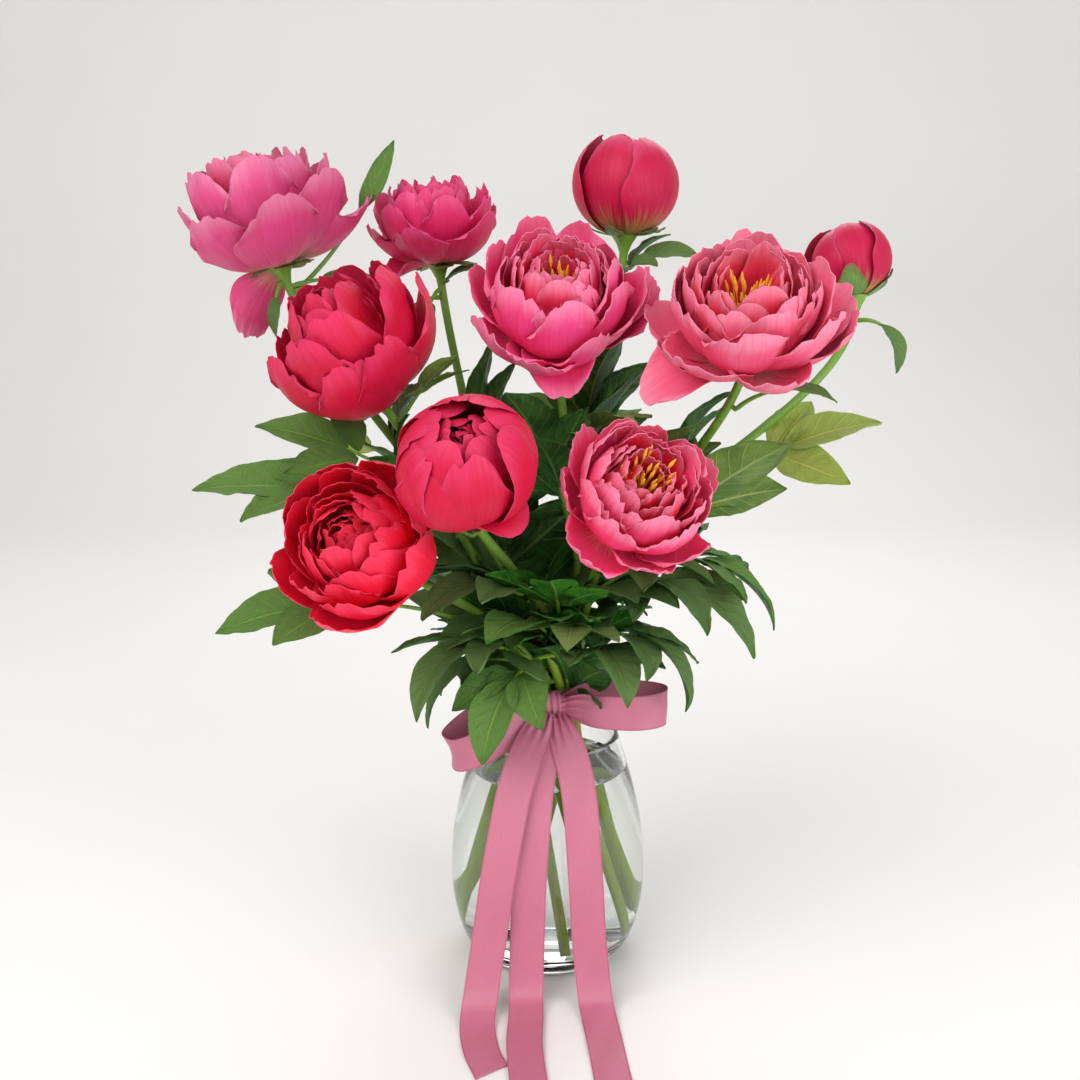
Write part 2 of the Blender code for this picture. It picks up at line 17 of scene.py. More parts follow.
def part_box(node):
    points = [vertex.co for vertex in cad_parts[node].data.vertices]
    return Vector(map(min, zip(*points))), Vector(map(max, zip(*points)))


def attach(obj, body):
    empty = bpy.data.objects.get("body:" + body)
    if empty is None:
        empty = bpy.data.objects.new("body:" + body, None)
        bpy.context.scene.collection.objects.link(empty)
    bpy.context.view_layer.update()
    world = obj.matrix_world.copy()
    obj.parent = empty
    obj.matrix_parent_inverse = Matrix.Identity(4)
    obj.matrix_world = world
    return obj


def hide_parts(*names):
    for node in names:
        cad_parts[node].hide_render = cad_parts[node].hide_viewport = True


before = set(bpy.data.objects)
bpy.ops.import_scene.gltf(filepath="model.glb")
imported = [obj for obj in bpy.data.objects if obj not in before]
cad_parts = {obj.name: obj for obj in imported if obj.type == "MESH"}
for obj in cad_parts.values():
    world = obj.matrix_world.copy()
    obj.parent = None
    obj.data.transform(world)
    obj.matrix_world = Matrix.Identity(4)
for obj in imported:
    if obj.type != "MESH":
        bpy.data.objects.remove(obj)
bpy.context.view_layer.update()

# %% [markdown]
# ## Camera and light
# The camera comes first, so that each later step can be looked at. It stands at the height of the
# upper blooms and looks a little down, which shows the open flowers' hearts and the vase's belly.
# A big soft box on the left does most of the work, because a peony's layers only read when each
# petal shades the one behind it. A low fill on the right keeps the reds from going black.

# %% Camera
LENS_MM = 43.33
CAMERA_PLACE = (-0.006, -0.942, 0.530)
CAMERA_PITCH = 12.3  # degrees below the horizon


def linked(name, data):
    """A new object in the scene."""
    thing = bpy.data.objects.new(name, data)
    bpy.context.scene.collection.objects.link(thing)
    return thing


camera = linked("camera", bpy.data.cameras.new("camera"))
camera.data.lens = LENS_MM
camera.location = CAMERA_PLACE
camera.rotation_euler = (math.radians(90 - CAMERA_PITCH), 0, 0)
bpy.context.scene.camera = camera

# %% Lights
HEART = Vector((0, 0, 0.38))  # the middle of the bunch, which every light looks at
LIGHTS = {  # place, size, watts and colour
    "key": ((-1.1, -1.3, 1.7), 1.8, 32, (1.0, 0.98, 0.95)),
    "fill": ((1.3, -1.5, 0.9), 1.8, 25, (0.97, 0.98, 1.0)),
    "back": ((0.3, 1.5, 1.6), 1.2, 12, (1.0, 1.0, 1.0)),
}
ROOM_COLOUR, ROOM_STRENGTH = (0.86, 0.86, 0.85, 1), 0.58

for name, (place, size, watts, colour) in LIGHTS.items():
    light = bpy.data.lights.new(name, "AREA")
    light.size, light.energy, light.color = size, watts, colour
    lamp = linked(name, light)
    lamp.location = place
    lamp.rotation_euler = (HEART - Vector(place)).to_track_quat("-Z", "Y").to_euler()

world = bpy.data.worlds.new("pale_room")
world.use_nodes = True
world.node_tree.nodes["Background"].inputs["Color"].default_value = ROOM_COLOUR
world.node_tree.nodes["Background"].inputs["Strength"].default_value = ROOM_STRENGTH
bpy.context.scene.world = world
bpy.context.scene.view_settings.view_transform = "Standard"  # keeps hot pinks from fading
print("lights:", list(LIGHTS))

# %% [markdown]
# ## Node trees written as sums
# Petals, leaves and their colours all follow formulas. A formula is much easier to read as
# `a * b + 1` than as a list of boxes and links, so this small class lets a socket take part in
# arithmetic. Each sum adds one Math node. It serves Geometry Nodes and shader trees alike.


# %% Sums
def sum_of(operation):
    """A function that adds one Math node, to the tree of its first wire."""
    return lambda wire, *others: wire.maths(operation, wire, *others)


class Wire:
    """A node's output that can be added to, multiplied and so on."""

    def __init__(self, tree, socket):
        self.tree, self.socket = tree, socket

    def maths(self, operation, *values):
        return put(self.tree, "ShaderNodeMath", dict(enumerate(values)), operation=operation)

    def __rsub__(self, other):
        return self.maths("SUBTRACT", other, self)

    __add__ = __radd__ = sum_of("ADD")
    __sub__ = sum_of("SUBTRACT")
    __mul__ = __rmul__ = sum_of("MULTIPLY")
    __truediv__ = sum_of("DIVIDE")
    __pow__ = sum_of("POWER")
    __abs__ = sum_of("ABSOLUTE")


sin, cos, ceiling = map(sum_of, ("SINE", "COSINE", "CEIL"))
least, most, remainder = map(sum_of, ("MINIMUM", "MAXIMUM", "MODULO"))


def join(tree, value, socket):
    """Links a wire to a socket, or sets the socket to a plain value."""
    if isinstance(value, Wire):
        tree.links.new(value.socket, socket)
    else:
        socket.default_value = value


def pick(sockets, key):
    """A node's socket by its number, or the first one in use by its name."""
    if isinstance(key, int):
        return sockets[key]
    return next(s for s in sockets if s.name == key and s.enabled)


def put(tree, kind, values=None, output=0, **settings):
    """Adds a node, sets and joins it, and returns one of its outputs as a wire."""
    node = tree.nodes.new(kind)
    for key, value in settings.items():
        setattr(node, key, value)
    for key, value in (values or {}).items():
        join(tree, value, pick(node.inputs, key))
    return Wire(tree, pick(node.outputs, output)) if node.outputs else node


def between(low, high, share):
    """Part of the way from low to high."""
    return (high - low) * share + low


def ramp(wire, start, end):
    """0 below start and 1 above end, with a smooth rise between."""
    values = {"Value": wire, "From Min": start, "From Max": end}
    return put(wire.tree, "ShaderNodeMapRange", values, interpolation_type="SMOOTHSTEP")


def point(x, y, z=0.0):
    return put(x.tree, "ShaderNodeCombineXYZ", {0: x, 1: y, 2: z})


def parts_of(wire):
    """The X, Y and Z of a vector wire."""
    first = put(wire.tree, "ShaderNodeSeparateXYZ", {0: wire})
    return [Wire(wire.tree, socket) for socket in first.socket.node.outputs]


def noise(where, scale, detail=2.0):
    """Smooth noise from 0 to 1 at a place."""
    values = {"Vector": where, "Scale": scale, "Detail": detail}
    return put(where.tree, "ShaderNodeTexNoise", values)


# %% [markdown]
# ## Growing a tree into a mesh
# Each Geometry Nodes tree below takes named inputs, so that one tree makes every bloom or every
# leaf. `grow` runs it once, keeps the result as an ordinary mesh and throws the modifier away,
# because what goes out of the script has to be plain geometry.

# %% Parts of a growing tree
DEGREE = math.pi / 180
MERGE = 1e-6  # points nearer than this become one


def new_tree(name, inputs):
    """A Geometry Nodes tree with named number inputs, and a wire for each of them."""
    tree = bpy.data.node_groups.new(name, "GeometryNodeTree")
    for label, default in inputs.items():
        kind = "NodeSocketInt" if isinstance(default, int) else "NodeSocketFloat"
        tree.interface.new_socket(label, in_out="INPUT", socket_type=kind).default_value = default
    tree.interface.new_socket("Finish", in_out="INPUT", socket_type="NodeSocketMaterial")
    tree.interface.new_socket("Geometry", in_out="OUTPUT", socket_type="NodeSocketGeometry")
    start = tree.nodes.new("NodeGroupInput")
    return tree, {s.name: Wire(tree, s) for s in start.outputs if s.name}


def attribute(geometry, name, value, domain="POINT", kind="FLOAT"):
    """Writes a named value on a geometry, which a material or a later step can read."""
    values = {"Geometry": geometry, "Name": name, "Value": value}
    return put(geometry.tree, "GeometryNodeStoreNamedAttribute", values, domain=domain, data_type=kind)


def copies(count, shape, label):
    """Count copies of a shape in one place, and at each point the number of its copy."""
    tree = shape.tree
    spots = put(tree, "GeometryNodePoints", {"Count": count})
    spots = attribute(spots, label, put(tree, "GeometryNodeInputIndex"))
    placed = put(tree, "GeometryNodeInstanceOnPoints", {"Points": spots, "Instance": shape})
    number = put(tree, "GeometryNodeInputNamedAttribute", {"Name": label}, data_type="FLOAT")
    return put(tree, "GeometryNodeRealizeInstances", {"Geometry": placed}), number


def chances(number, seed, step):
    """A function that draws a new number from -1 to 1, the same all over each copy."""
    draws = itertools.count(1)

    def chance():
        values = {2: -1.0, 3: 1.0, 7: number, 8: seed + step * next(draws)}
        return put(number.tree, "FunctionNodeRandomValue", values, output=1)

    return chance


def thick(sheet, thickness):
    """Gives a sheet a back, so that it is a closed solid with all its faces outwards."""
    tree = sheet.tree
    raised = put(tree, "GeometryNodeExtrudeMesh", {"Mesh": sheet, "Offset Scale": thickness,
                                                   "Individual": False})
    back = attribute(put(tree, "GeometryNodeFlipFaces", {"Mesh": sheet}), "under", 1.0, "FACE")
    both = tree.nodes.new("GeometryNodeJoinGeometry")
    for part in (raised, back):
        tree.links.new(part.socket, both.inputs[0])
    joined = Wire(tree, both.outputs[0])
    return put(tree, "GeometryNodeMergeByDistance", {"Geometry": joined, "Distance": MERGE})


def moved(geometry, places):
    return put(geometry.tree, "GeometryNodeSetPosition", {"Geometry": geometry, "Position": places})


def finish_tree(geometry, given):
    """Ends a tree: instances made real, its finish on every face, and the result put out."""
    tree = geometry.tree
    real = put(tree, "GeometryNodeRealizeInstances", {"Geometry": geometry})
    done = put(tree, "GeometryNodeSetMaterial", {"Geometry": real, "Material": given["Finish"]})
    put(tree, "NodeGroupOutput", {0: done})
    return tree


def finish_sheets(sheets, places, u, v, given, **marks):
    """Ends a tree of flat sheets: a UV map and marks on them, then their shape, then their backs."""
    sheets = attribute(sheets, "UVMap", point(u * 0.5 + 0.5, v), "CORNER", "FLOAT2")
    for name, value in marks.items():
        sheets = attribute(sheets, name, value)
    return finish_tree(thick(moved(sheets, places), given["Thickness"]), given)


# %% Growing
SHARP_EDGE = 62  # degrees


def grow(name, tree, place=Matrix(), **values):
    """Runs a tree with its inputs set, and returns the result as a plain mesh in place."""
    holder = linked(name, bpy.data.meshes.new("holder"))
    run = holder.modifiers.new("grow", "NODES")
    run.node_group = tree
    for item in tree.interface.items_tree:
        if item.in_out == "INPUT" and item.name in values:
            run[item.identifier] = values[item.name]
    graph = bpy.context.evaluated_depsgraph_get()
    graph.update()
    mesh = bpy.data.meshes.new_from_object(holder.evaluated_get(graph), depsgraph=graph)
    bpy.data.objects.remove(holder)
    mesh.name = name
    mesh.transform(place)
    return mesh


def mesh_from(bm, name, finish):
    """The plain mesh of a hand-built shape, in one finish."""
    mesh = bpy.data.meshes.new(name)
    bm.to_mesh(mesh)
    bm.free()
    mesh.materials.append(finish)
    return mesh


def shown(name, meshes, slot, *nodes):
    """Joins meshes into one finished piece, with its place in its mesh, and says what it is: it
    rides on the one body and stands for these nodes."""
    things = [linked(name, mesh) for mesh in meshes]
    piece = things[0]
    if len(things) > 1:
        with bpy.context.temp_override(active_object=piece, selected_editable_objects=things):
            bpy.ops.object.join()
    piece.name = name
    piece.data.shade_smooth()
    piece.data.set_sharp_from_angle(angle=math.radians(SHARP_EDGE))
    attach(piece, "root")
    if nodes:
        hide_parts(*nodes)
    return piece


# %% [markdown]
# ## The flowers
# One row for each flower: its middle, the way it opens, its radius and depth, the side to which
# its stem leans where the bunch is tied, and its kind. These are the same choices as the frame's.

# %% Flower table
Flower = namedtuple("Flower", "name middle faces radius depth heading kind tone")
FLOWERS = [Flower(*row) for row in (
    ("far_left", (-0.202, 0.015, 0.557), (-0.26, -0.04, 0.96), 0.066, 0.068, 156, "side", "mauve"),
    ("back_left", (-0.086, 0.065, 0.555), (-0.10, -0.06, 0.99), 0.051, 0.058, 126, "side", "rose"),
    ("top_bud", (0.058, 0.070, 0.579), (0.0, 0.0, 1.0), 0.042, 0.066, 60, "bud", "bud"),
    ("right_bud", (0.224, 0.050, 0.531), (-0.12, 0.20, 0.97), 0.032, 0.062, 24, "bud", "bud"),
    ("centre_open", (0.006, -0.035, 0.500), (0.0, -0.60, 0.80), 0.062, 0.070, 306, "open", "pink"),
    ("right_open", (0.130, -0.085, 0.495), (-0.06, -0.58, 0.81), 0.070, 0.074, 348, "wide", "salmon"),
    ("left_cup", (-0.135, -0.040, 0.466), (-0.40, -0.36, 0.84), 0.059, 0.076, 216, "cup", "coral"),
    ("front_cup", (-0.054, -0.145, 0.404), (0.05, -0.75, 0.66), 0.044, 0.070, 246, "globe", "coral"),
    ("low_left", (-0.125, -0.108, 0.345), (-0.28, -0.82, 0.50), 0.053, 0.076, 186, "full", "scarlet"),
    ("low_right", (0.058, -0.130, 0.386), (0.26, -0.74, 0.62), 0.054, 0.076, 276, "open", "blush"),
)]
BY_NAME = {flower.name: flower for flower in FLOWERS}


def base_of(flower):
    """Where the bloom sits on its stem."""
    return Vector(flower.middle) - Vector(flower.faces).normalized() * flower.depth / 2


def stood(flower):
    """The matrix that stands a piece on the bloom's base, with its Z along the flower's axis."""
    turn = Vector(flower.faces).to_track_quat("Z", "Y").to_matrix().to_4x4()
    return Matrix.Translation(base_of(flower)) @ turn


def compass(degrees, climb=0.0):
    """The unit direction at a heading from +X, raised by a climb, both in degrees."""
    turn, rise = math.radians(degrees), math.radians(climb)
    return Vector((math.cos(turn) * math.cos(rise), math.sin(turn) * math.cos(rise), math.sin(rise)))


print("flowers:", {f.name: f.kind for f in FLOWERS})

# %% [markdown]
# ## Petals
# A peony's petal is a broad spoon. It leaves the flower's base almost flat, curves upwards, is
# hollowed across its width, and ends in a ruffled edge with a few notches. A bloom is forty or
# more of them, set round the axis by the golden angle, from small upright ones at the heart to wide
# ones that lie open at the outside. That is a rule, so one Geometry Nodes tree makes every bloom:
# it lays down flat grids, numbers them, and then works out each point's place from its number and
# from how far along (v) and across (u) its petal it is.

# %% Petal tree
GOLDEN_ANGLE = math.pi * (3 - math.sqrt(5))
PETAL_GRID = (17, 15)  # points across and along
WIDEST = 0.66  # how far along a petal it is at its widest


def petal_tree():
    tree, given = new_tree("petal_whorl", {
        "Petals": 40, "Seed": 0, "Youngest": 0.0, "Skirt": 0.0,
        "Heart length": 0.04, "Outer length": 0.07,
        "Heart base angle": 50.0, "Outer base angle": 95.0,
        "Heart tip angle": 0.0, "Outer tip angle": 40.0,
        "Opening": 1.0, "Heart width": 0.7, "Outer width": 0.9,
        "Heart hollow": 0.016, "Outer hollow": 0.035,
        "Heart foot": 0.002, "Outer foot": 0.008, "Heart lift": 0.0,
        "Ruffle": 0.003, "Notch": 0.12, "Lip": 0.002, "Loose": 1.0, "Thickness": 0.0004,
    })
    grid = put(tree, "GeometryNodeMeshGrid", {0: 2.0, 1: 1.0, 2: PETAL_GRID[0], 3: PETAL_GRID[1]})
    petals, number = copies(given["Petals"], grid, "petal")
    chance = chances(number, given["Seed"], 17.0)
    loose, ruffle, lip = given["Loose"], given["Ruffle"], given["Lip"]
    age = between(given["Youngest"], 1.0, number / most(given["Petals"] - 1.0, 1.0))
    skirt = ramp(age, 0.80, 0.92) * given["Skirt"]  # the outermost few lie open under the bowl
    u, y, _ = parts_of(put(tree, "GeometryNodeInputPosition"))
    v = y + 0.5

    def from_heart(label, share=age):
        return between(given["Heart " + label], given["Outer " + label], share)

    spread = age ** given["Opening"]
    base = (from_heart("base angle", spread) + skirt * 0.3 + chance() * loose * 5.0) * DEGREE
    tip_angle = from_heart("tip angle", spread) + skirt
    tip = (tip_angle + chance() * loose * (age * 14.0 + 6.0)) * DEGREE
    length = from_heart("length") * (chance() * 0.10 * loose + 1.0) * (1.0 - skirt * 0.003)
    half_width = length * from_heart("width") * (chance() * 0.12 * loose + 1.0) * 0.5
    hollow = from_heart("hollow") * (chance() * 0.15 * loose + 1.0)
    turn = number * GOLDEN_ANGLE + chance() * 0.22
    twist = chance() * 0.16 * loose

    # The outline: a rounded end, torn by a few notches, and sides that widen from a narrow claw.
    own = point(u * 1.3 + number * 7.3, v * 0.25, given["Seed"] * 3.7)
    tears = ramp(noise(own, 2.6, 1.0), 0.50, 0.72) * ramp(v, 0.45, 1.0)
    reach = v * (1.0 - abs(u) ** 2.2 * 0.30) * (1.0 - tears * given["Notch"])
    swell = sin(least(v / WIDEST, 1.0) * (math.pi / 2)) * 0.84 + 0.16
    narrowing = 1.0 - most((v - WIDEST) / (1 - WIDEST), 0.0) ** 2.0 * 0.24
    side = u * half_width * swell * narrowing

    # The middle line bends evenly from its base angle to its tip angle, both from the axis.
    change = tip - base
    slope = base + change * reach
    bend = length / change
    out = bend * (cos(base) - cos(slope))
    rise = bend * (sin(slope) - sin(base))

    # Across its width the petal follows a circle, which hollows it.
    around = side / hollow
    level = hollow * sin(around)
    deep = hollow * (1.0 - cos(around))
    spot = point(u * 1.5 + number * 3.1, v * 1.7, given["Seed"] * 1.9)
    wave = (noise(spot, 1.9) - 0.5) * ramp(v, 0.15, 1.0) * (abs(u) * 0.8 + 0.5)
    frill = sin(u * 19.0 + number * 2.0) * ramp(v, 0.72, 1.0) * 0.13
    pleat = sin(u * 26.0 + number) * 0.00012 * v
    deep = deep + (wave * 2.0 + frill) * ruffle + pleat
    deep = deep - ramp(v, 0.70, 1.0) * lip * (chance() * 0.6 + 1.0)
    deep = deep - abs(u) ** 5.0 * ramp(v, 0.2, 0.6) * lip * 0.8
    flat = level * cos(twist) - deep * sin(twist)
    deep = deep * cos(twist) + level * sin(twist)

    radius = from_heart("foot") + out - cos(slope) * deep
    height = rise + sin(slope) * deep + (1.0 - age) * given["Heart lift"]
    places = point(radius * cos(turn) - flat * sin(turn), radius * sin(turn) + flat * cos(turn), height)
    return finish_sheets(petals, places, u, v, given, age=age, luck=chance() * 0.5 + 0.5)


PETAL_WHORL = petal_tree()
print("petal tree:", len(PETAL_WHORL.nodes), "nodes")

# %% [markdown]
# ## Petal finish
# Coral peonies fade as they age, so the bunch runs from a hot coral red to a soft salmon pink. On
# each petal the claw is pale and a little yellow, the body is the deepest, and the rim is bleached.
# Fine veins run lengthways. The petal's own UV map gives the place along and across it, and one
# node group turns that into a mask for each of those three things, for all the tones to share.


# %% Node groups
def new_group(name, **inputs):
    """A shader node group with named inputs, each a Float or a Vector, and a wire for each."""
    tree = bpy.data.node_groups.new(name, "ShaderNodeTree")
    for label, kind in inputs.items():
        tree.interface.new_socket(label, in_out="INPUT", socket_type="NodeSocket" + kind)
    start = tree.nodes.new("NodeGroupInput")
    return tree, {s.name: Wire(tree, s) for s in start.outputs if s.name}


def end_group(tree, **results):
    """Ends a group with one number for each result."""
    for label in results:
        tree.interface.new_socket(label, in_out="OUTPUT", socket_type="NodeSocketFloat")
    put(tree, "NodeGroupOutput", results)
    return tree


def use_group(tree, group, **values):
    """Places a node group in a material, and returns all its outputs."""
    node = tree.nodes.new("ShaderNodeGroup")
    node.node_tree = group
    for key, value in values.items():
        join(tree, value, pick(node.inputs, key))
    return [Wire(tree, socket) for socket in node.outputs]


def petal_masks():
    tree, given = new_group("petal_masks", UV="Vector", Number="Float")
    u, v, _ = parts_of(given["UV"])
    number = given["Number"]
    across = abs(u - 0.5) * 2.0
    wander = noise(point(u * 3.0, v * 2.0, number * 9.0), 1.0)
    fine = noise(point((u - 0.5) * (22.0 - v * 8.0), v * 0.9, number * 5.0), 2.2, 3.0)
    claw = 1.0 - ramp(v + (wander - 0.5) * 0.25 + (fine - 0.5) * 0.5, 0.02, 0.36)
    rim = ramp(most(v, across * 0.5 + v * 0.5) + (wander - 0.5) * 0.12, 0.74, 1.02)
    blotch = noise(point(u * 2.0, v * 2.0, number * 13.0), 1.6)
    return end_group(tree, Claw=claw, Rim=rim, Vein=ramp(fine, 0.42, 0.62), Blotch=blotch)


PETAL_MASKS = petal_masks()


# %% Painting
def dress(material, **values):
    """Sets or joins the inputs of a material's shader, by their names."""
    shader = material.node_tree.nodes["Principled BSDF"]
    for name, value in values.items():
        join(material.node_tree, value, shader.inputs[name.replace("_", " ")])
    return material


def new_material(name, **values):
    """A Principled material and its tree."""
    material = bpy.data.materials.new(name)
    material.use_nodes = True
    return dress(material, **values), material.node_tree


def paint(colour, *coats):
    """A colour with others laid over it, each with the share that it covers."""
    for share, coat in coats:
        node = share.tree.nodes.new("ShaderNodeMix")
        node.data_type = "RGBA"
        for number, value in ((0, share), (6, colour), (7, coat)):
            value = (*value, 1) if isinstance(value, tuple) else value
            join(share.tree, value, node.inputs[number])
        colour = Wire(share.tree, node.outputs[2])
    return colour


def bump(height, distance, strength):
    values = {"Height": height, "Distance": distance, "Strength": strength}
    return put(height.tree, "ShaderNodeBump", values)


def stored(tree, name):
    """A number stored on the mesh under a name."""
    return put(tree, "ShaderNodeAttribute", output="Fac", attribute_name=name)


def uv_map(tree):
    return put(tree, "ShaderNodeUVMap", uv_map="UVMap")


def own_place(tree):
    """The place on the object itself, in metres."""
    return put(tree, "ShaderNodeTexCoord", output="Object")


# %% Petal materials
def petal_material(name, body, heart, rim, claw):
    """Petal tissue: four colours laid out by the petal masks."""
    material, tree = new_material(name, Subsurface_Weight=0.15, Subsurface_Scale=0.003,
                                  Subsurface_Radius=(1.0, 0.6, 0.6), Specular_IOR_Level=0.20)
    luck, age = stored(tree, "luck"), stored(tree, "age")
    claw_mask, rim_mask, vein, blotch = use_group(tree, PETAL_MASKS, UV=uv_map(tree), Number=luck)
    colour = paint(heart, (ramp(age + (luck - 0.5) * 0.4, 0.1, 0.7), body),
                   (rim_mask * 0.75 + (blotch - 0.5) * 0.35, rim),
                   (claw_mask * 0.85, claw),
                   (vein * 0.16, tuple(c * 0.8 for c in heart)))
    return dress(material, Base_Color=colour, Normal=bump(vein, 0.0003, 0.4),
                 Roughness=vein * 0.08 + 0.42 + (blotch - 0.5) * 0.1)


TONES = {  # body, heart, rim and claw
    "coral": ((0.62, 0.008, 0.050), (0.60, 0.003, 0.021), (0.72, 0.042, 0.135), (0.70, 0.08, 0.07)),
    "scarlet": ((0.90, 0.012, 0.054), (0.90, 0.006, 0.026), (0.86, 0.052, 0.125), (0.84, 0.10, 0.08)),
    "rose": ((0.66, 0.022, 0.130), (0.64, 0.008, 0.052), (0.74, 0.095, 0.27), (0.68, 0.38, 0.17)),
    "bud": ((0.52, 0.011, 0.064), (0.50, 0.005, 0.024), (0.66, 0.085, 0.20), (0.38, 0.33, 0.10)),
    "pink": ((0.90, 0.074, 0.275), (0.92, 0.028, 0.100), (0.92, 0.310, 0.48), (0.92, 0.50, 0.35)),
    "mauve": ((0.66, 0.064, 0.215), (0.66, 0.034, 0.105), (0.70, 0.220, 0.37), (0.66, 0.34, 0.22)),
    "blush": ((0.93, 0.070, 0.220), (0.94, 0.022, 0.066), (0.88, 0.300, 0.44), (0.90, 0.50, 0.28)),
    "salmon": ((0.88, 0.135, 0.265), (0.90, 0.040, 0.092), (0.90, 0.320, 0.45), (0.90, 0.50, 0.40)),
}
PETALS = {tone: petal_material(tone + "_petal", *colours) for tone, colours in TONES.items()}


def slot_of(tone):
    return "petal_coral" if tone in ("coral", "scarlet") else "petal_pink"


print("petal colours:", list(PETALS))

# %% [markdown]
# ## Blooms
# Each kind of bloom is the same tree with its own lengths and angles. Angles are from the flower's
# axis: 0 stands straight up, 90 lies flat, and below 0 leans in over the heart. Lengths are shares
# of the bloom's radius, so that a bloom keeps its form at any size.

# %% Bloom kinds
# Where a kind has two numbers, they are for the petal at the heart and for the outermost one.
Kind = namedtuple("Kind", "scale petals length base_angle tip_angle skirt opening width hollow foot "
                          "lift loose ruffle notch", defaults=(1.0, 0.07, 0.08))
KINDS = {
    "open": Kind(1.20, 56, (0.86, 1.20), (14, 92), (-28, -32), 36, 0.82,
                 (0.54, 0.84), (0.22, 0.44), (0.20, 0.14), 0.06),
    "wide": Kind(1.00, 48, (0.94, 1.22), (14, 92), (-20, -20), 38, 0.78,
                 (0.66, 1.02), (0.28, 0.50), (0.24, 0.14), 0.06),
    "side": Kind(1.17, 44, (0.92, 1.14), (10, 92), (-24, -18), 34, 0.88,
                 (0.62, 0.94), (0.26, 0.46), (0.08, 0.14), 0.06),
    "cup": Kind(1.34, 40, (1.06, 1.26), (22, 92), (-36, -40), 18, 0.97,
                (0.56, 0.80), (0.26, 0.50), (0.06, 0.14), 0.04),
    "globe": Kind(1.30, 30, (1.24, 1.80), (36, 92), (-46, -80), 0, 0.94,
                  (0.54, 0.66), (0.34, 0.64), (0.03, 0.20), 0.0, loose=0.60, ruffle=0.030),
    "full": Kind(1.25, 50, (0.98, 1.42), (18, 92), (-38, -44), 14, 0.88,
                 (0.58, 0.92), (0.22, 0.54), (0.12, 0.14), 0.06, loose=0.9),
    "bud": Kind(1.20, 16, (1.40, 2.00), (40, 88), (-52, -78), 0, 1.00,
                (0.60, 0.72), (0.50, 0.80), (0.02, 0.16), 0.0, loose=0.40, ruffle=0.012, notch=0.04),
}


def bloom_mesh(name, flower, seed):
    """The petals of one flower."""
    kind = KINDS[flower.kind]
    size = flower.radius * kind.scale
    values = {"Petals": kind.petals, "Seed": seed, "Opening": kind.opening, "Loose": kind.loose,
              "Skirt": float(kind.skirt), "Heart lift": kind.lift * size, "Notch": kind.notch,
              "Ruffle": kind.ruffle * size, "Lip": 0.03 * size * kind.loose,
              "Finish": PETALS[flower.tone]}
    for label, pair, scale in (("length", kind.length, size), ("base angle", kind.base_angle, 1.0),
                               ("tip angle", kind.tip_angle, 1.0), ("width", kind.width, 1.0),
                               ("hollow", kind.hollow, size), ("foot", kind.foot, size)):
        values["Heart " + label], values["Outer " + label] = (v * scale for v in pair)
    return grow(name, PETAL_WHORL, stood(flower), **values)


for seed, flower in enumerate(FLOWERS):
    name = "petals_" + flower.name
    bloom = shown(name, [bloom_mesh(name, flower, seed)], slot_of(flower.tone), name)
    low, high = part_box(name)
    print(name, len(bloom.data.polygons), "faces,", [round(side, 3) for side in bloom.dimensions],
          "m; frame", [round(h - l, 3) for l, h in zip(low, high)])

# %% [markdown]
# ## Loose outer petals
# Some blooms have dropped a big outer petal, which hangs below the rest. It is the same petal, grown
# alone: its lean is the angle between the way it hangs and the flower's axis.

# %% Loose petals
Guard = namedtuple("Guard", "flower side drop roll length width tone")
GUARDS = [Guard(*row) for row in (
    ("far_left", 202, 60, 62, 0.050, 0.032, "mauve"),
    ("back_left", 190, 30, 0, 0.042, 0.034, "rose"),
    ("centre_open", 285, 40, 0, 0.050, 0.040, "pink"),
    ("right_open", 200, 28, 0, 0.066, 0.046, "salmon"),
    ("front_cup", 330, 12, 0, 0.044, 0.036, "coral"),
)]
GUARD_SEED = 40  # the number of the first one


def loose_petal(name, guard, seed):
    """One petal that leaves the calyx along its own line."""
    flower = BY_NAME[guard.flower]
    axis = Vector(flower.faces).normalized()
    out = compass(guard.side, -guard.drop)
    away = (out - axis * out.dot(axis)).normalized()
    lean = math.degrees(axis.angle(out))
    turned = Matrix((away, axis.cross(away), axis)).transposed().to_4x4()
    roll = Matrix.Rotation(math.radians(guard.roll), 4, out)
    place = Matrix.Translation(base_of(flower) - axis * 0.002) @ roll @ turned
    return grow(name, PETAL_WHORL, place, **{
        "Petals": 1, "Seed": seed, "Youngest": 1.0, "Outer length": guard.length * 1.15,
        "Outer foot": 0.004, "Outer base angle": lean - 26, "Outer tip angle": lean + 16,
        "Outer width": guard.width / guard.length * 1.25, "Outer hollow": guard.width * 0.85,
        "Ruffle": 0.004, "Notch": 0.06, "Lip": 0.001, "Loose": 0.4, "Finish": PETALS[guard.tone]})


for seed, guard in enumerate(GUARDS, GUARD_SEED):
    name = "guard_petal_" + guard.flower
    shown(name, [loose_petal(name, guard, seed)], slot_of(guard.tone), name)
print("loose petals:", len(GUARDS))

# %% [markdown]
# ## Stamens
# An open peony shows a brush of golden stamens: fine pale threads, each with a long anther. The
# tree copies a small cylinder, leans each copy out by its number, and swells its last sixth.


# %% Stamens
ANTHER_START = 0.84  # how far along a stamen its anther begins


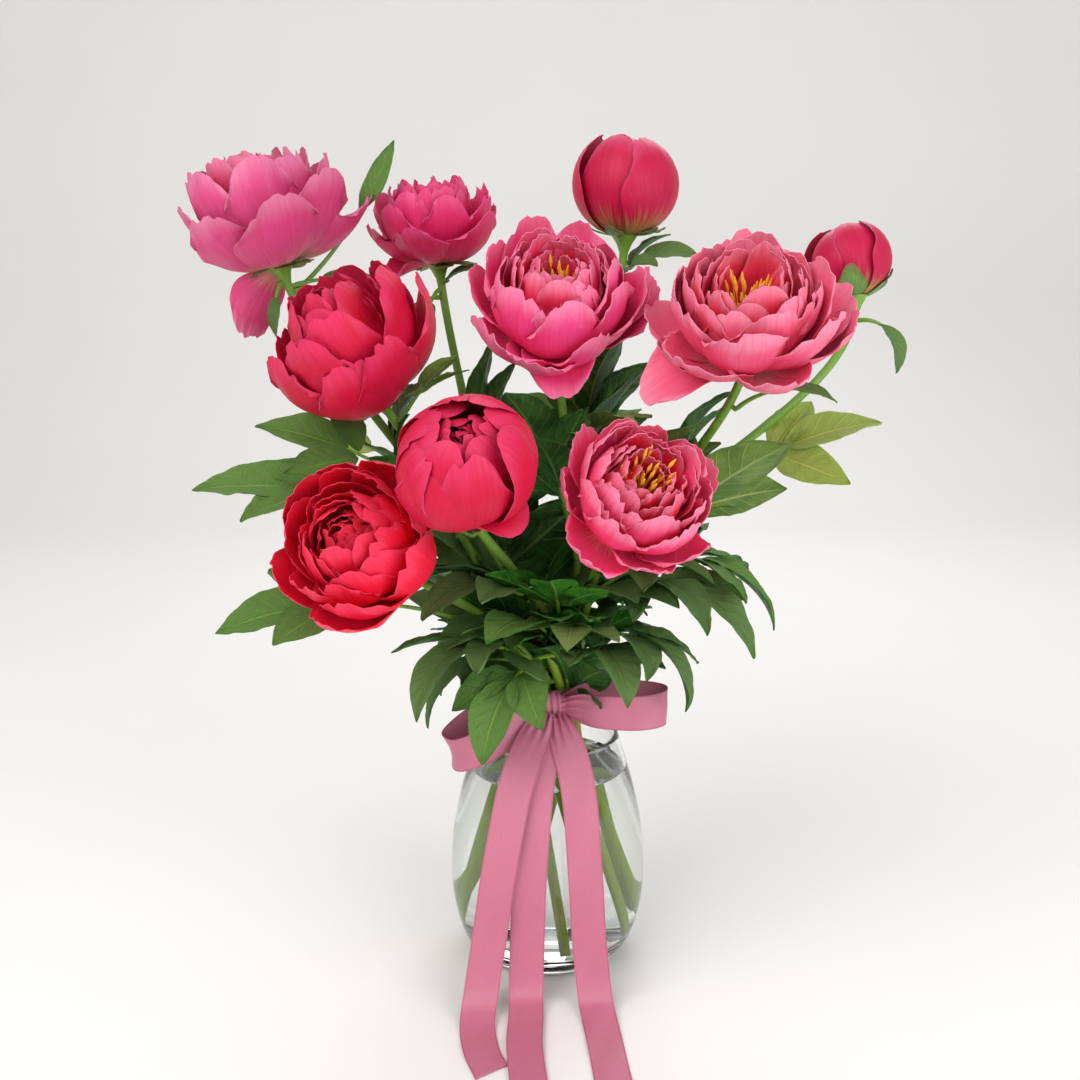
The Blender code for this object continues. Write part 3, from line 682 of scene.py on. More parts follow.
def stamen_tree():
    tree, given = new_tree("stamens", {"Stamens": 60, "Seed": 0, "Length": 0.02, "Spread": 50.0,
                                       "Foot": 0.004, "Thread": 0.00028, "Anther": 0.0011})
    rod = put(tree, "GeometryNodeMeshCylinder", {0: 6, 1: 12, 2: 1, 3: 1.0, 4: 1.0})
    rods, number = copies(given["Stamens"], rod, "stamen")
    x, y, z = parts_of(put(tree, "GeometryNodeInputPosition"))
    v = z + 0.5
    luck = put(tree, "FunctionNodeRandomValue", {2: 0.0, 3: 1.0, 7: number, 8: given["Seed"]}, output=1)
    share = ((number + 0.5) / given["Stamens"]) ** 0.5
    lean = share * given["Spread"] * DEGREE * (v * 0.5 + 0.6)
    turn = number * GOLDEN_ANGLE + luck * 0.5
    length = given["Length"] * (luck * 0.35 + 0.72)
    anther = sin(most((v - ANTHER_START) / (1 - ANTHER_START), 0.0) * math.pi * 0.96 + 0.02)
    radius = given["Thread"] + anther * given["Anther"]
    out = given["Foot"] * share + length * v * sin(lean) + cos(lean) * y * radius
    rise = length * v * cos(lean) - sin(lean) * y * radius
    level = x * radius
    places = point(out * cos(turn) - level * sin(turn), out * sin(turn) + level * cos(turn), rise)
    return finish_tree(moved(attribute(rods, "along", v), places), given)


def stamen_material():
    material, tree = new_material("stamen_gold", Roughness=0.55)
    gold = paint((0.95, 0.42, 0.02), (noise(own_place(tree), 900.0), (1.0, 0.66, 0.08)))
    thread_to_anther = ramp(stored(tree, "along"), 0.6, 0.8)
    return dress(material, Base_Color=paint((0.93, 0.62, 0.22), (thread_to_anther, gold)))


STAMENS = stamen_tree()
STAMEN_GOLD = stamen_material()
STAMEN_COUNT = 40
STAMEN_LENGTHS = {"centre_open": 0.86, "right_open": 0.82, "low_left": 0.72, "low_right": 0.76}
for seed, (name, length) in enumerate(STAMEN_LENGTHS.items()):  # in shares of the bloom's depth
    flower, name = BY_NAME[name], "stamens_" + name
    tuft = grow(name, STAMENS, stood(flower), **{
        "Stamens": STAMEN_COUNT, "Seed": seed, "Length": length * flower.depth, "Spread": 12.0,
        "Foot": 0.007, "Finish": STAMEN_GOLD})
    shown(name, [tuft], "stamen", name)
    print(name, len(tuft.polygons), "faces")

# %% [markdown]
# ## Stems
# Bound stems fan out below the tie and above it, like a twisted sheaf, so no two meet. Each is
# straight through the water, keeps on past the ribbon, and then bends to bring its bloom round to
# the light. The tube is ridged, swells where a leaf joined, and ends in the cup of the calyx.

# %% Routes
STEM_RADIUS = 0.0038
STEM_FOOT_HEIGHT = 0.020
STEM_SPREAD = 0.27  # sideways run for each metre of height, in the vase
TIE_HEIGHT = 0.204
TIE_RADIUS = 0.021
RISE = 0.42  # how far a stem keeps straight on past the tie, as a share of its way to the bloom
NECK = 0.24  # how far below the bloom it starts to turn, likewise
BELOW_TIE, ABOVE_TIE = 16, 40  # spans of a stem's route


def stem_route(flower):
    """Points from the cut end in the vase, past the tie, and up to the bloom."""
    lean = compass(flower.heading)
    tie = Vector((-lean.y, lean.x, 0)) * TIE_RADIUS + Vector((0, 0, TIE_HEIGHT))
    way = (lean * STEM_SPREAD + Vector((0, 0, 1))).normalized()
    foot = tie - way * (TIE_HEIGHT - STEM_FOOT_HEIGHT) / way.z
    top, axis = base_of(flower), Vector(flower.faces).normalized()
    reach = (top - tie).length
    control = (tie, tie + way * reach * RISE, top - axis * reach * NECK, top)
    route = [foot.lerp(tie, i / BELOW_TIE) for i in range(BELOW_TIE)]
    for i in range(ABOVE_TIE + 1):
        t = i / ABOVE_TIE
        weights = ((1 - t) ** 3, 3 * t * (1 - t) ** 2, 3 * t**2 * (1 - t), t**3)
        route.append(sum((w * c for w, c in zip(weights, control)), Vector()))
    return route


def way_at(route, i):
    """The direction of a route at one of its points."""
    return (route[min(i + 1, len(route) - 1)] - route[max(i - 1, 0)]).normalized()


def runs(route):
    """How far along a route each of its points is."""
    return list(itertools.accumulate(((b - a).length for a, b in zip(route, route[1:])), initial=0.0))


def sweep(name, route, radii, finish, sides=14, ridges=0.0):
    """A closed tube along a route, with a radius for each of its points, and five low ridges."""
    bm = bmesh.new()
    rings, normal = [], None
    turns = [2 * math.pi * k / sides for k in range(sides)]
    for i, place in enumerate(route):
        along = way_at(route, i)
        normal = along.orthogonal() if normal is None else normal - along * normal.dot(along)
        normal.normalize()
        side = along.cross(normal)
        rings.append([bm.verts.new(place + (normal * math.cos(a) + side * math.sin(a)) * radii[i]
                                   * (1 + ridges * math.cos(5 * a))) for a in turns])
    for near, far in zip(rings, rings[1:]):
        for k in range(sides):
            bm.faces.new((near[k], near[(k + 1) % sides], far[(k + 1) % sides], far[k]))
    bm.faces.new(rings[0][::-1])
    bm.faces.new(rings[-1])
    return mesh_from(bm, name, finish)


# %% [markdown]
# ## Green tissue
# Stems are smooth and a little waxy: yellow-green where they stand in the water, and darker and
# redder near the bloom. Long fine streaks run along them, with a speckle between. Sepals are a dull
# green, flushed with dark red towards the edge, and they share the petals' masks.


# %% Green materials
def stem_material():
    material, tree = new_material("stem_green", Subsurface_Weight=0.06, Subsurface_Scale=0.003)
    place = own_place(tree)
    x, y, z = parts_of(place)
    streak = noise(point(x * 900.0, y * 900.0, z * 26.0), 1.0, 3.0)
    speckle = noise(place, 420.0, 3.0)
    colour = paint((0.34, 0.52, 0.006), (ramp(z, 0.16, 0.34), (0.16, 0.36, 0.036)),
                   (ramp(streak, 0.45, 0.7) * 0.55, (0.30, 0.44, 0.10)),
                   (ramp(speckle, 0.60, 0.72) * 0.35, (0.22, 0.10, 0.035)))
    return dress(material, Base_Color=colour, Roughness=streak * 0.2 + 0.32,
                 Normal=bump(streak, 0.0004, 0.5))


def sepal_material():
    material, tree = new_material("sepal_green", Roughness=0.5, Subsurface_Weight=0.05,
                                  Subsurface_Scale=0.003)
    _, rim, vein, blotch = use_group(tree, PETAL_MASKS, UV=uv_map(tree), Number=stored(tree, "luck"))
    colour = paint((0.10, 0.24, 0.04), (blotch, (0.20, 0.34, 0.07)), (rim * 0.7, (0.22, 0.07, 0.05)),
                   (vein * 0.4, (0.07, 0.17, 0.03)))
    return dress(material, Base_Color=colour, Normal=bump(vein, 0.0003, 0.6))


STEM_GREEN = stem_material()
SEPAL_GREEN = sepal_material()

# %% Stems and calyxes
CALYX_SEED = 60  # the number of the first one
OLD_JOINTS = (0.62, 0.80)  # where leaves once joined, as shares of the stem's length
CUP_HEIGHT, CUP_FLARE = 0.015, 1.9  # of the calyx, which the tube widens into
RIDGES = 0.035  # height of a stem's ridges, as a share of its radius


def stem_radii(route):
    """The tube's radius at each point: a swelling at two old leaf joints, then the calyx's cup."""
    lengths, radii = runs(route), []
    for run in lengths:
        share, left = run / lengths[-1], lengths[-1] - run
        joints = sum(math.exp(-(((share - at) / 0.012) ** 2)) for at in OLD_JOINTS)
        cup = max(0.0, 1 - left / CUP_HEIGHT) ** 1.6 * CUP_FLARE
        radii.append(STEM_RADIUS * (0.98 - 0.18 * share + 0.13 * joints + cup))
    return radii


def calyx(flower, seed):
    """Five sepals. They spread under an open bloom and hug the curve of a bud."""
    kind = KINDS[flower.kind]
    size = flower.radius * kind.scale
    closed = flower.kind in ("bud", "globe")
    length = 0.036 if flower.radius < 0.040 else 0.024  # a young bud's are long for its size
    curve = kind.length[1] * size / math.radians(kind.base_angle[1] - kind.tip_angle[1])
    base, tip = (93, 93 - math.degrees(length / curve)) if closed else (104, 88)
    foot = kind.foot[1] * size if closed else 0.004
    return grow("calyx_" + flower.name, PETAL_WHORL, stood(flower), **{
        "Petals": 5, "Seed": seed, "Heart length": length * 0.8, "Outer length": length,
        "Heart base angle": base - 2.0, "Outer base angle": base,
        "Heart tip angle": tip - 2.0, "Outer tip angle": tip,
        "Heart width": 0.74, "Outer width": 0.60, "Heart hollow": 0.024, "Outer hollow": 0.026,
        "Heart foot": foot + 0.0005, "Outer foot": foot + 0.001, "Ruffle": 0.001, "Notch": 0.0,
        "Lip": 0.001 if closed else 0.0015, "Loose": 0.3 if closed else 1.0,
        "Thickness": 0.0006, "Finish": SEPAL_GREEN})


ROUTES = {flower.name: stem_route(flower) for flower in FLOWERS}
for seed, flower in enumerate(FLOWERS, CALYX_SEED):
    name, route = "stem_" + flower.name, ROUTES[flower.name]
    tube = sweep(name, route, stem_radii(route), STEM_GREEN, ridges=RIDGES)
    shown(name, [tube, calyx(flower, seed)], "stem", name)
print("stems:", len(ROUTES))

# %% [markdown]
# ## Leaves
# A peony's leaf is compound: a long stalk, an end leaflet, and pairs of side leaflets that fan back
# from it. A leaflet is pointed at both ends, folded a little along its midrib, puckered between
# its side veins, and wavy at the edge. The tree copies one grid for each leaflet, sorts the copies
# into pairs by number, lays the leaf out flat and then bends it along its arc.

# %% Leaf tree
LEAF_GRID = (15, 40)  # points across and along a leaflet
SIDE_VEINS = 8.0
VEIN_SLANT = 1.9  # how many veins' width each side vein climbs on its way to the edge


def leaf_tree():
    tree, given = new_tree("compound_leaf", {
        "Leaflets": 3, "Seed": 0, "Size": 0.08, "Slim": 0.40, "Stalk": 0.10, "Arc radius": 0.2,
        "Arc": 0.5, "Fan": 42.0, "Fold": 0.30, "Pucker": 0.0007, "Wave": 0.004, "Droop": 0.12,
        "Thickness": 0.00035})
    grid = put(tree, "GeometryNodeMeshGrid", {0: 2.0, 1: 1.0, 2: LEAF_GRID[0], 3: LEAF_GRID[1]})
    leaflets, number = copies(given["Leaflets"], grid, "leaflet")
    chance = chances(number, given["Seed"] * 7.0, 31.0)
    size, arc, arc_radius = given["Size"], given["Arc"], given["Arc radius"]
    u, y, _ = parts_of(put(tree, "GeometryNodeInputPosition"))
    v = y + 0.5

    # Leaflet 0 is the end one. After it, odd ones go to the right and even ones to the left.
    pair = ceiling(number / 2.0)
    hand = remainder(number, 2.0) * 2.0 - 1.0
    angle = hand * (given["Fan"] * pair - pair * (pair - 1.0) * 6.0 + chance() * pair * 6.0) * DEGREE
    length = size * (1.0 - pair * (chance() * 0.05 + 0.16))
    root = given["Stalk"] - size * 0.09 * pair ** 1.5

    outline = sin(v ** 0.80 * math.pi) ** 0.88 * 0.97 + 0.03
    along = v * length + 0.004
    side = u * outline * length * given["Slim"] * 0.5
    phase = v * SIDE_VEINS - abs(u) * VEIN_SLANT + chance() * 0.5
    vein = sin(phase * (2 * math.pi)) * 0.5 + 0.5
    spot = point(v * 2.4 + number * 5.3, u * 1.1 + chance(), given["Seed"] * 2.3)
    wave = (noise(spot, 1.7) - 0.5) * (abs(u) ** 1.5 + 0.12) * 2.0
    swell = abs(u) * (1.0 - abs(u)) * 4.0 * sin(v * math.pi)
    height = abs(side) * given["Fold"] * (chance() * 0.5 + 1.0) - vein * swell * given["Pucker"]
    height = height + wave * given["Wave"] - v ** 2.0 * length * (given["Droop"] + chance() * 0.10)
    height = height + along * pair * chance() * 0.22
    twist = v * chance() * 0.45
    level = side * cos(twist) - height * sin(twist)
    height = height * cos(twist) + side * sin(twist)

    flat_x = root + along * cos(angle) - level * sin(angle)
    flat_y = along * sin(angle) + level * cos(angle)
    turn = flat_x / arc_radius - arc * 0.5
    reach = arc_radius + height
    places = point(reach * sin(turn) + arc_radius * sin(arc * 0.5), flat_y,
                   reach * cos(turn) - arc_radius * cos(arc * 0.5))
    return finish_sheets(leaflets, places, u, v, given, luck=chance() * 0.5 + 0.5)


LEAF_TREE = leaf_tree()
print("leaf tree:", len(LEAF_TREE.nodes), "nodes")


# %% Leaf materials
def leaf_masks():
    """The midrib, the side veins, the fine net between them, and soft blotches."""
    tree, given = new_group("leaf_masks", UV="Vector", Number="Float")
    u, v, _ = parts_of(given["UV"])
    number = given["Number"]
    across = abs(u - 0.5) * 2.0
    wobble = noise(point(u * 4.0, v * 4.0, number * 6.0), 1.0)
    phase = sin((v * SIDE_VEINS - across * VEIN_SLANT + wobble * 0.35) * (2 * math.pi))
    vein = ramp(phase, 0.90, 1.0) * (1.0 - ramp(across, 0.75, 1.0))
    cells = {"Vector": point(u * 9.0, v * 26.0, number), "Scale": 1.6}
    net = put(tree, "ShaderNodeTexVoronoi", cells, output="Distance", feature="DISTANCE_TO_EDGE")
    blotch = noise(point(u * 2.0, v * 3.0, number * 11.0), 1.4, 3.0)
    return end_group(tree, Midrib=1.0 - ramp(across, 0.02, 0.085), Vein=vein,
                     Net=1.0 - ramp(net, 0.0, 0.07), Blotch=blotch)


LEAF_MASKS = leaf_masks()


def leaf_material(name, dark, light, rib, underside):
    """A leaf's blade: two greens in soft blotches, pale ribs, and a duller underside."""
    material, tree = new_material(name, Subsurface_Weight=0.05, Subsurface_Scale=0.003,
                                  Specular_IOR_Level=0.22)
    luck, under = stored(tree, "luck"), stored(tree, "under")
    midrib, vein, net, blotch = use_group(tree, LEAF_MASKS, UV=uv_map(tree), Number=luck)
    ribs = most(midrib, vein * 0.7)
    colour = paint(dark, (ramp(blotch, 0.35, 0.65), light), (under, underside),
                   (net * 0.20, tuple(c * 1.5 for c in light)), (ribs, rib))
    return dress(material, Base_Color=colour, Normal=bump(ribs + net * 0.25, 0.0012, 0.8),
                 Roughness=under * 0.18 + 0.42 + (blotch - 0.5) * 0.12)


GREENS = {  # dark and light blotches, ribs and underside
    "dark": ((0.018, 0.090, 0.016), (0.050, 0.175, 0.030), (0.14, 0.28, 0.070), (0.12, 0.22, 0.065)),
    "fresh": ((0.014, 0.110, 0.008), (0.040, 0.210, 0.014), (0.15, 0.36, 0.055), (0.11, 0.23, 0.048)),
    "olive": ((0.085, 0.18, 0.028), (0.15, 0.26, 0.048), (0.30, 0.40, 0.12), (0.22, 0.32, 0.10)),
    "lime": ((0.22, 0.38, 0.012), (0.40, 0.54, 0.025), (0.55, 0.66, 0.13), (0.34, 0.48, 0.10)),
}
LEAF_FINISH = {green: leaf_material("leaf_" + green, *tones) for green, tones in GREENS.items()}
print("leaf finishes:", list(LEAF_FINISH))

# %% Leaf table
# The stem a leaf grows on and how high, the place of its tip, and how many degrees it arches over.
# Slim is a leaflet's width for its length.
Leaf = namedtuple("Leaf", "name stem height tip arch size slim leaflets finish roll",
                  defaults=(0.40, 5, "dark", 0))
LEAVES = [Leaf(*row) for row in (
    ("left_broad", "left_cup", 0.335, (-0.250, -0.045, 0.376), 30, 0.084, 0.42, 3, "fresh", -25),
    ("left_upright", "left_cup", 0.364, (-0.208, -0.022, 0.420), 20, 0.070, 0.36, 3, "fresh", -40),
    ("left_low", "low_left", 0.270, (-0.233, -0.070, 0.274), 55, 0.080, 0.44, 3, "fresh", -20),
    ("left_yellow", "far_left", 0.366, (-0.190, 0.050, 0.404), 40, 0.062, 0.42, 3, "lime", 15),
    ("front_left_hang", "low_left", 0.243, (-0.100, -0.105, 0.224), 110, 0.084, 0.30),
    ("front_hang", "front_cup", 0.246, (-0.046, -0.106, 0.190), 100, 0.066, 0.42, 3, "fresh"),
    ("front_mound", "low_right", 0.236, (0.012, -0.112, 0.276), 80, 0.054, 0.42, 3, "olive"),
    ("front_right_hang", "low_right", 0.256, (0.110, -0.072, 0.220), 95, 0.074, 0.38, 5, "dark", -10),
    ("right_hang", "right_open", 0.285, (0.152, -0.040, 0.246), 100, 0.088, 0.32),
    ("right_far_hang", "right_bud", 0.290, (0.182, 0.000, 0.262), 95, 0.086, 0.32, 5, "fresh"),
    ("right_pale", "right_open", 0.300, (0.166, -0.060, 0.410), 20, 0.092, 0.44, 3, "olive", -35),
    ("right_yellow", "right_bud", 0.345, (0.244, 0.010, 0.418), 25, 0.074, 0.44, 3, "lime", 30),
    ("middle_upright", "centre_open", 0.310, (-0.008, -0.082, 0.418), 30, 0.070, 0.40, 3),
    ("middle_front", "front_cup", 0.252, (0.000, -0.128, 0.326), 45, 0.066, 0.40, 3, "fresh"),
    ("under_centre", "centre_open", 0.395, (0.060, -0.062, 0.422), 50, 0.056, 0.32, 3, "olive"),
    ("far_left_top", "far_left", 0.505, (-0.114, 0.038, 0.612), -50, 0.056, 0.24, 1, "fresh", 50),
    ("back_left_leaf", "back_left", 0.500, (-0.106, 0.042, 0.472), 90, 0.036, 0.34, 1),
    ("right_bud_leaf", "right_bud", 0.484, (0.256, 0.010, 0.446), 110, 0.044, 0.32, 1),
    ("back_low", "back_left", 0.262, (-0.084, 0.106, 0.234), 85, 0.084, 0.32),
    ("back_right_low", "top_bud", 0.266, (0.066, 0.126, 0.244), 85, 0.084, 0.32),
    ("back_left_low", "far_left", 0.270, (-0.135, 0.075, 0.250), 85, 0.084, 0.32, 5, "fresh"),
    ("back_high", "top_bud", 0.375, (0.036, 0.142, 0.430), 45, 0.084, 0.36, 5, "fresh"),
)]

# %% Small leaves
# These fill the middle of the bunch and stand just under the blooms. The frame has no node for them.
FILLERS = [Leaf(f"filler_{number}", *row) for number, row in enumerate((
    ("front_cup", 0.300, (-0.090, -0.100, 0.300), 70, 0.070),
    ("centre_open", 0.270, (0.060, -0.096, 0.305), 60, 0.074, 0.40, 5, "dark", 10),
    ("low_right", 0.300, (0.112, -0.104, 0.330), 50, 0.066, 0.40, 5, "dark", -10),
    ("back_left", 0.330, (-0.070, 0.000, 0.430), 40, 0.080),
    ("top_bud", 0.330, (0.070, 0.020, 0.450), 30, 0.090),
    ("right_open", 0.340, (0.100, -0.050, 0.430), 30, 0.080, 0.40, 3, "olive"),
    ("left_cup", 0.300, (-0.120, -0.060, 0.290), 80, 0.074, 0.36),
    ("top_bud", 0.260, (0.020, -0.060, 0.345), 50, 0.080),
    ("centre_open", 0.330, (-0.030, -0.060, 0.450), 30, 0.080, 0.36, 5, "dark", 20),
    ("back_left", 0.250, (-0.050, -0.070, 0.320), 40, 0.080),
    ("right_open", 0.250, (0.090, -0.070, 0.300), 60, 0.084),
    ("front_cup", 0.250, (-0.040, -0.120, 0.290), 60, 0.070, 0.44, 5, "fresh"),
    ("far_left", 0.330, (-0.130, 0.000, 0.400), 40, 0.080),
    ("left_cup", 0.260, (-0.080, -0.070, 0.260), 80, 0.080, 0.36),
    ("low_right", 0.240, (0.060, -0.100, 0.235), 90, 0.070, 0.38),
    ("right_bud", 0.300, (0.140, 0.000, 0.360), 50, 0.084),
    ("back_left", 0.380, (-0.040, 0.020, 0.480), 30, 0.080, 0.38, 5, "dark", 20),
    ("top_bud", 0.400, (0.050, 0.000, 0.480), 40, 0.080, 0.38),
    ("centre_open", 0.360, (0.040, -0.070, 0.400), 60, 0.080, 0.36),
    ("back_left", 0.300, (-0.030, -0.010, 0.400), 30, 0.090, 0.40, 5, "dark", -20),
    ("right_open", 0.380, (0.130, -0.030, 0.440), 50, 0.070, 0.38),
    ("left_cup", 0.380, (-0.080, -0.060, 0.420), 50, 0.070, 0.38, 5, "fresh"),
    ("far_left", 0.400, (-0.090, 0.010, 0.450), 50, 0.070, 0.38),
    ("low_left", 0.240, (-0.090, -0.060, 0.200), 110, 0.070, 0.38),
    ("top_bud", 0.280, (0.080, 0.040, 0.380), 40, 0.090),
    ("far_left", 0.280, (-0.070, 0.060, 0.360), 50, 0.090),
    ("back_left", 0.220, (-0.040, 0.070, 0.270), 60, 0.084, 0.44),
    ("top_bud", 0.220, (0.040, 0.076, 0.276), 60, 0.084, 0.44),
    ("front_cup", 0.214, (-0.010, -0.066, 0.262), 70, 0.070, 0.44),
    ("right_open", 0.214, (0.074, -0.030, 0.262), 70, 0.078, 0.44),
    ("left_cup", 0.222, (-0.082, -0.010, 0.258), 70, 0.078, 0.44),
    ("centre_open", 0.222, (0.030, -0.078, 0.292), 60, 0.080, 0.44, 5, "fresh"),
), 1)]
BRACTS = [Leaf("bract_" + row[0], *row[1:]) for row in (
    ("far_left", "far_left", 0.508, (-0.118, 0.006, 0.512), 40, 0.046, 0.26, 1, "dark", 50),
    ("far_left_2", "far_left", 0.512, (-0.196, 0.000, 0.474), 60, 0.030, 0.26, 1),
    ("back_left", "back_left", 0.512, (-0.050, 0.050, 0.526), 40, 0.038, 0.32, 1, "dark", 30),
    ("back_left_2", "back_left", 0.505, (-0.094, 0.030, 0.462), 60, 0.040, 0.36, 1),
    ("top_bud", "top_bud", 0.522, (0.112, 0.050, 0.536), 50, 0.052, 0.36, 3, "dark", 20),
    ("top_bud_2", "top_bud", 0.515, (0.010, 0.040, 0.545), 30, 0.044, 0.34, 1, "fresh"),
    ("right_bud", "right_bud", 0.490, (0.204, 0.020, 0.486), 60, 0.032, 0.40, 1),
    ("left_cup", "left_cup", 0.415, (-0.062, -0.060, 0.466), 20, 0.044, 0.30, 3, "olive"),
    ("right_open", "right_open", 0.430, (0.190, -0.090, 0.440), 60, 0.044, 0.36, 1, "fresh", 20),
)]

# %% Leaves on their stems
SMALL_LEAF_SEED = 50  # the number of the first one
STALK_ROOM = 0.0024  # from the stem's skin to where a leaf's arc begins
STALK_THICK, STALK_THIN = 0.0019, 0.0011  # its radius at the stem and towards the leaf
STALK_SPANS = 15


def place_on_stem(route, height):
    """The place and direction of a stem where it passes a height."""
    for low, high in zip(route, route[1:]):
        if low.z <= height < high.z:
            return low.lerp(high, (height - low.z) / (high.z - low.z)), (high - low).normalized()
    raise ValueError(f"the stem doesn't reach {height}")


def leaf_meshes(name, leaf, seed):
    """The leaf's blades and its stalk, on the arc from the stem to the tip."""
    place, along = place_on_stem(ROUTES[leaf.stem], leaf.height)
    out = Vector(leaf.tip) - place
    start = place + (out - along * out.dot(along)).normalized() * (STEM_RADIUS + STALK_ROOM)
    chord = Vector(leaf.tip) - start
    arc = math.radians(leaf.arch)
    radius = chord.length / (2 * math.sin(arc / 2))
    stalk = radius * arc - leaf.size - 0.004
    forward = chord.normalized()
    sideways = Vector((0, 0, 1)).cross(forward).normalized()
    turn = Matrix((forward, sideways, forward.cross(sideways))).transposed().to_4x4()
    placed = Matrix.Translation(start) @ turn @ Matrix.Rotation(math.radians(leaf.roll), 4, "X")
    blades = grow(name, LEAF_TREE, placed, **{
        "Leaflets": leaf.leaflets, "Seed": seed, "Size": leaf.size, "Slim": leaf.slim * 1.25,
        "Stalk": stalk, "Arc radius": radius, "Arc": arc, "Droop": 0.10,
        "Fan": 46.0 if leaf.leaflets == 3 else 40.0, "Wave": leaf.size * 0.05,
        "Finish": LEAF_FINISH[leaf.finish]})
    line = [start - (start - place) * 1.2]  # the stalk's foot, inside the stem
    for i in range(STALK_SPANS):
        bend = (stalk + 0.006) * i / (STALK_SPANS - 1) / radius - arc / 2
        line.append(placed @ Vector((radius * (math.sin(bend) + math.sin(arc / 2)), 0,
                                     radius * (math.cos(bend) - math.cos(arc / 2)))))
    radii = [STALK_THICK - (STALK_THICK - STALK_THIN) * i / STALK_SPANS for i in range(len(line))]
    return [blades, sweep("stalk_" + leaf.name, line, radii, STEM_GREEN, sides=10)]


for seed, leaf in enumerate(LEAVES):
    name = "leaf_" + leaf.name
    shown(name, leaf_meshes(name, leaf, seed), "leaf", name)
for seed, leaf in enumerate(FILLERS + BRACTS, SMALL_LEAF_SEED):
    name = "leaf_" + leaf.name
    shown(name, leaf_meshes(name, leaf, seed), "leaf")
print("leaves:", len(LEAVES), "and", len(FILLERS + BRACTS), "small ones")

# %% [markdown]
# ## Vase and water
# The vase is blown glass: an even wall, a thick floor, a soft heel and a fire-polished rim. A spun
# half outline gives all of it. The water is a separate body, set a hair into the wall, since two
# faces with a gap between them would show a film of air.

# %% Vase and water
VASE_HEIGHT = 0.176
VASE_RIM_RADIUS = 0.053
VASE_BELLY_RADIUS = 0.075
VASE_BELLY_HEIGHT = 0.066
VASE_FOOT_RADIUS = 0.050
VASE_WALL = 0.003
VASE_FLOOR = 0.012
RIM_ROUND = 0.0016  # how far below the rim its rounding starts
WATER_LEVEL = 0.150
SINK = 0.0002  # how far the water reaches into the glass
SPUN_STEPS, WALL_POINTS, WATER_POINTS = 96, 60, 50


def vase_radius(height):
    """The outer radius: a quarter ellipse up to the belly, and a cosine in to the rim."""
    if height < VASE_BELLY_HEIGHT:
        rise = 1 - height / VASE_BELLY_HEIGHT
        return VASE_FOOT_RADIUS + (VASE_BELLY_RADIUS - VASE_FOOT_RADIUS) * math.sqrt(1 - rise**2)
    share = (height - VASE_BELLY_HEIGHT) / (VASE_HEIGHT - VASE_BELLY_HEIGHT)
    return VASE_RIM_RADIUS + (VASE_BELLY_RADIUS - VASE_RIM_RADIUS) * math.cos(share * math.pi / 2)


def steps(low, high, count):
    return [low + (high - low) * i / (count - 1) for i in range(count)]


def spun(name, profile, finish):
    """A closed solid from a half outline that runs from axis to axis."""
    bm = bmesh.new()
    points = [bm.verts.new((r, 0.0, z)) for r, z in profile]
    edges = [bm.edges.new(ends) for ends in zip(points, points[1:])]
    bmesh.ops.spin(bm, geom=points + edges, cent=(0, 0, 0), axis=(0, 0, 1), angle=2 * math.pi,
                   steps=SPUN_STEPS)
    bmesh.ops.remove_doubles(bm, verts=bm.verts, dist=MERGE)
    bmesh.ops.recalc_face_normals(bm, faces=bm.faces)
    return mesh_from(bm, name, finish)


def inside(low, high, count, sink):
    """Points up the inside of the wall, with the floor's corner rounded."""
    points = []
    for z in steps(low, high, count):
        corner = 0.012 * max(0.0, 1 - (z - VASE_FLOOR) / 0.012) ** 2
        points.append((vase_radius(z) - VASE_WALL - corner + sink, z))
    return points


def clear_material(name, roughness, colour, bend, waves, depth, strength):
    """Glass or water. Its faint waves are in its height, and not in its colour."""
    material, tree = new_material(name, Roughness=roughness, Transmission_Weight=1.0, IOR=bend,
                                  Base_Color=(*colour, 1))
    return dress(material, Normal=bump(noise(own_place(tree), waves, 1.0), depth, strength))


GLASS = clear_material("clear_glass", 0.015, (0.975, 0.99, 0.985), 1.48, 26.0, 0.0006, 0.25)
WATER = clear_material("vase_water", 0.0, (0.985, 0.995, 0.985), 1.33, 40.0, 0.0002, 0.1)

foot = [(0.0, 0.0016), (0.030, 0.0012), (0.040, 0.0), (VASE_FOOT_RADIUS - 0.001, 0.0),
        (VASE_FOOT_RADIUS + 0.003, 0.0008)]
outer = [(vase_radius(z), z) for z in steps(0.0024, VASE_HEIGHT - RIM_ROUND, WALL_POINTS)]
rim = [(VASE_RIM_RADIUS - 0.0005, VASE_HEIGHT - 0.0005),
       (VASE_RIM_RADIUS - VASE_WALL / 2, VASE_HEIGHT),
       (VASE_RIM_RADIUS - VASE_WALL + 0.0005, VASE_HEIGHT - 0.0005)]
inner = inside(VASE_FLOOR, VASE_HEIGHT - RIM_ROUND, WALL_POINTS, 0.0)[::-1]
vase = spun("glass_vase", foot + outer + rim + inner + [(0.0, VASE_FLOOR)], GLASS)
shown("glass_vase", [vase], "glass", "glass_vase")

body = inside(VASE_FLOOR - SINK, WATER_LEVEL, WATER_POINTS, SINK)
brim = body[-1][0]  # the water climbs a little way up the glass here
top = [(brim - 0.0020, WATER_LEVEL - 0.0014), (brim - 0.006, WATER_LEVEL - 0.0018),
       (0.0, WATER_LEVEL - 0.0018)]
water = spun("water", [(0.0, VASE_FLOOR - SINK), *body, *top], WATER)
shown("water", [water], "water", "water")
print("vase:", len(vase.polygons), "faces; water:", len(water.polygons))

# %% [markdown]
# ## Ribbon
# The bow is tied from satin ribbon 25 mm wide. It is cloth, so each length keeps its width, lies
# in smooth curves, and puckers into lengthwise pleats only where the knot grips it. `ribbon` lays
# a strip along a route, narrows it towards a gripped end, and turns the lost width into pleats.

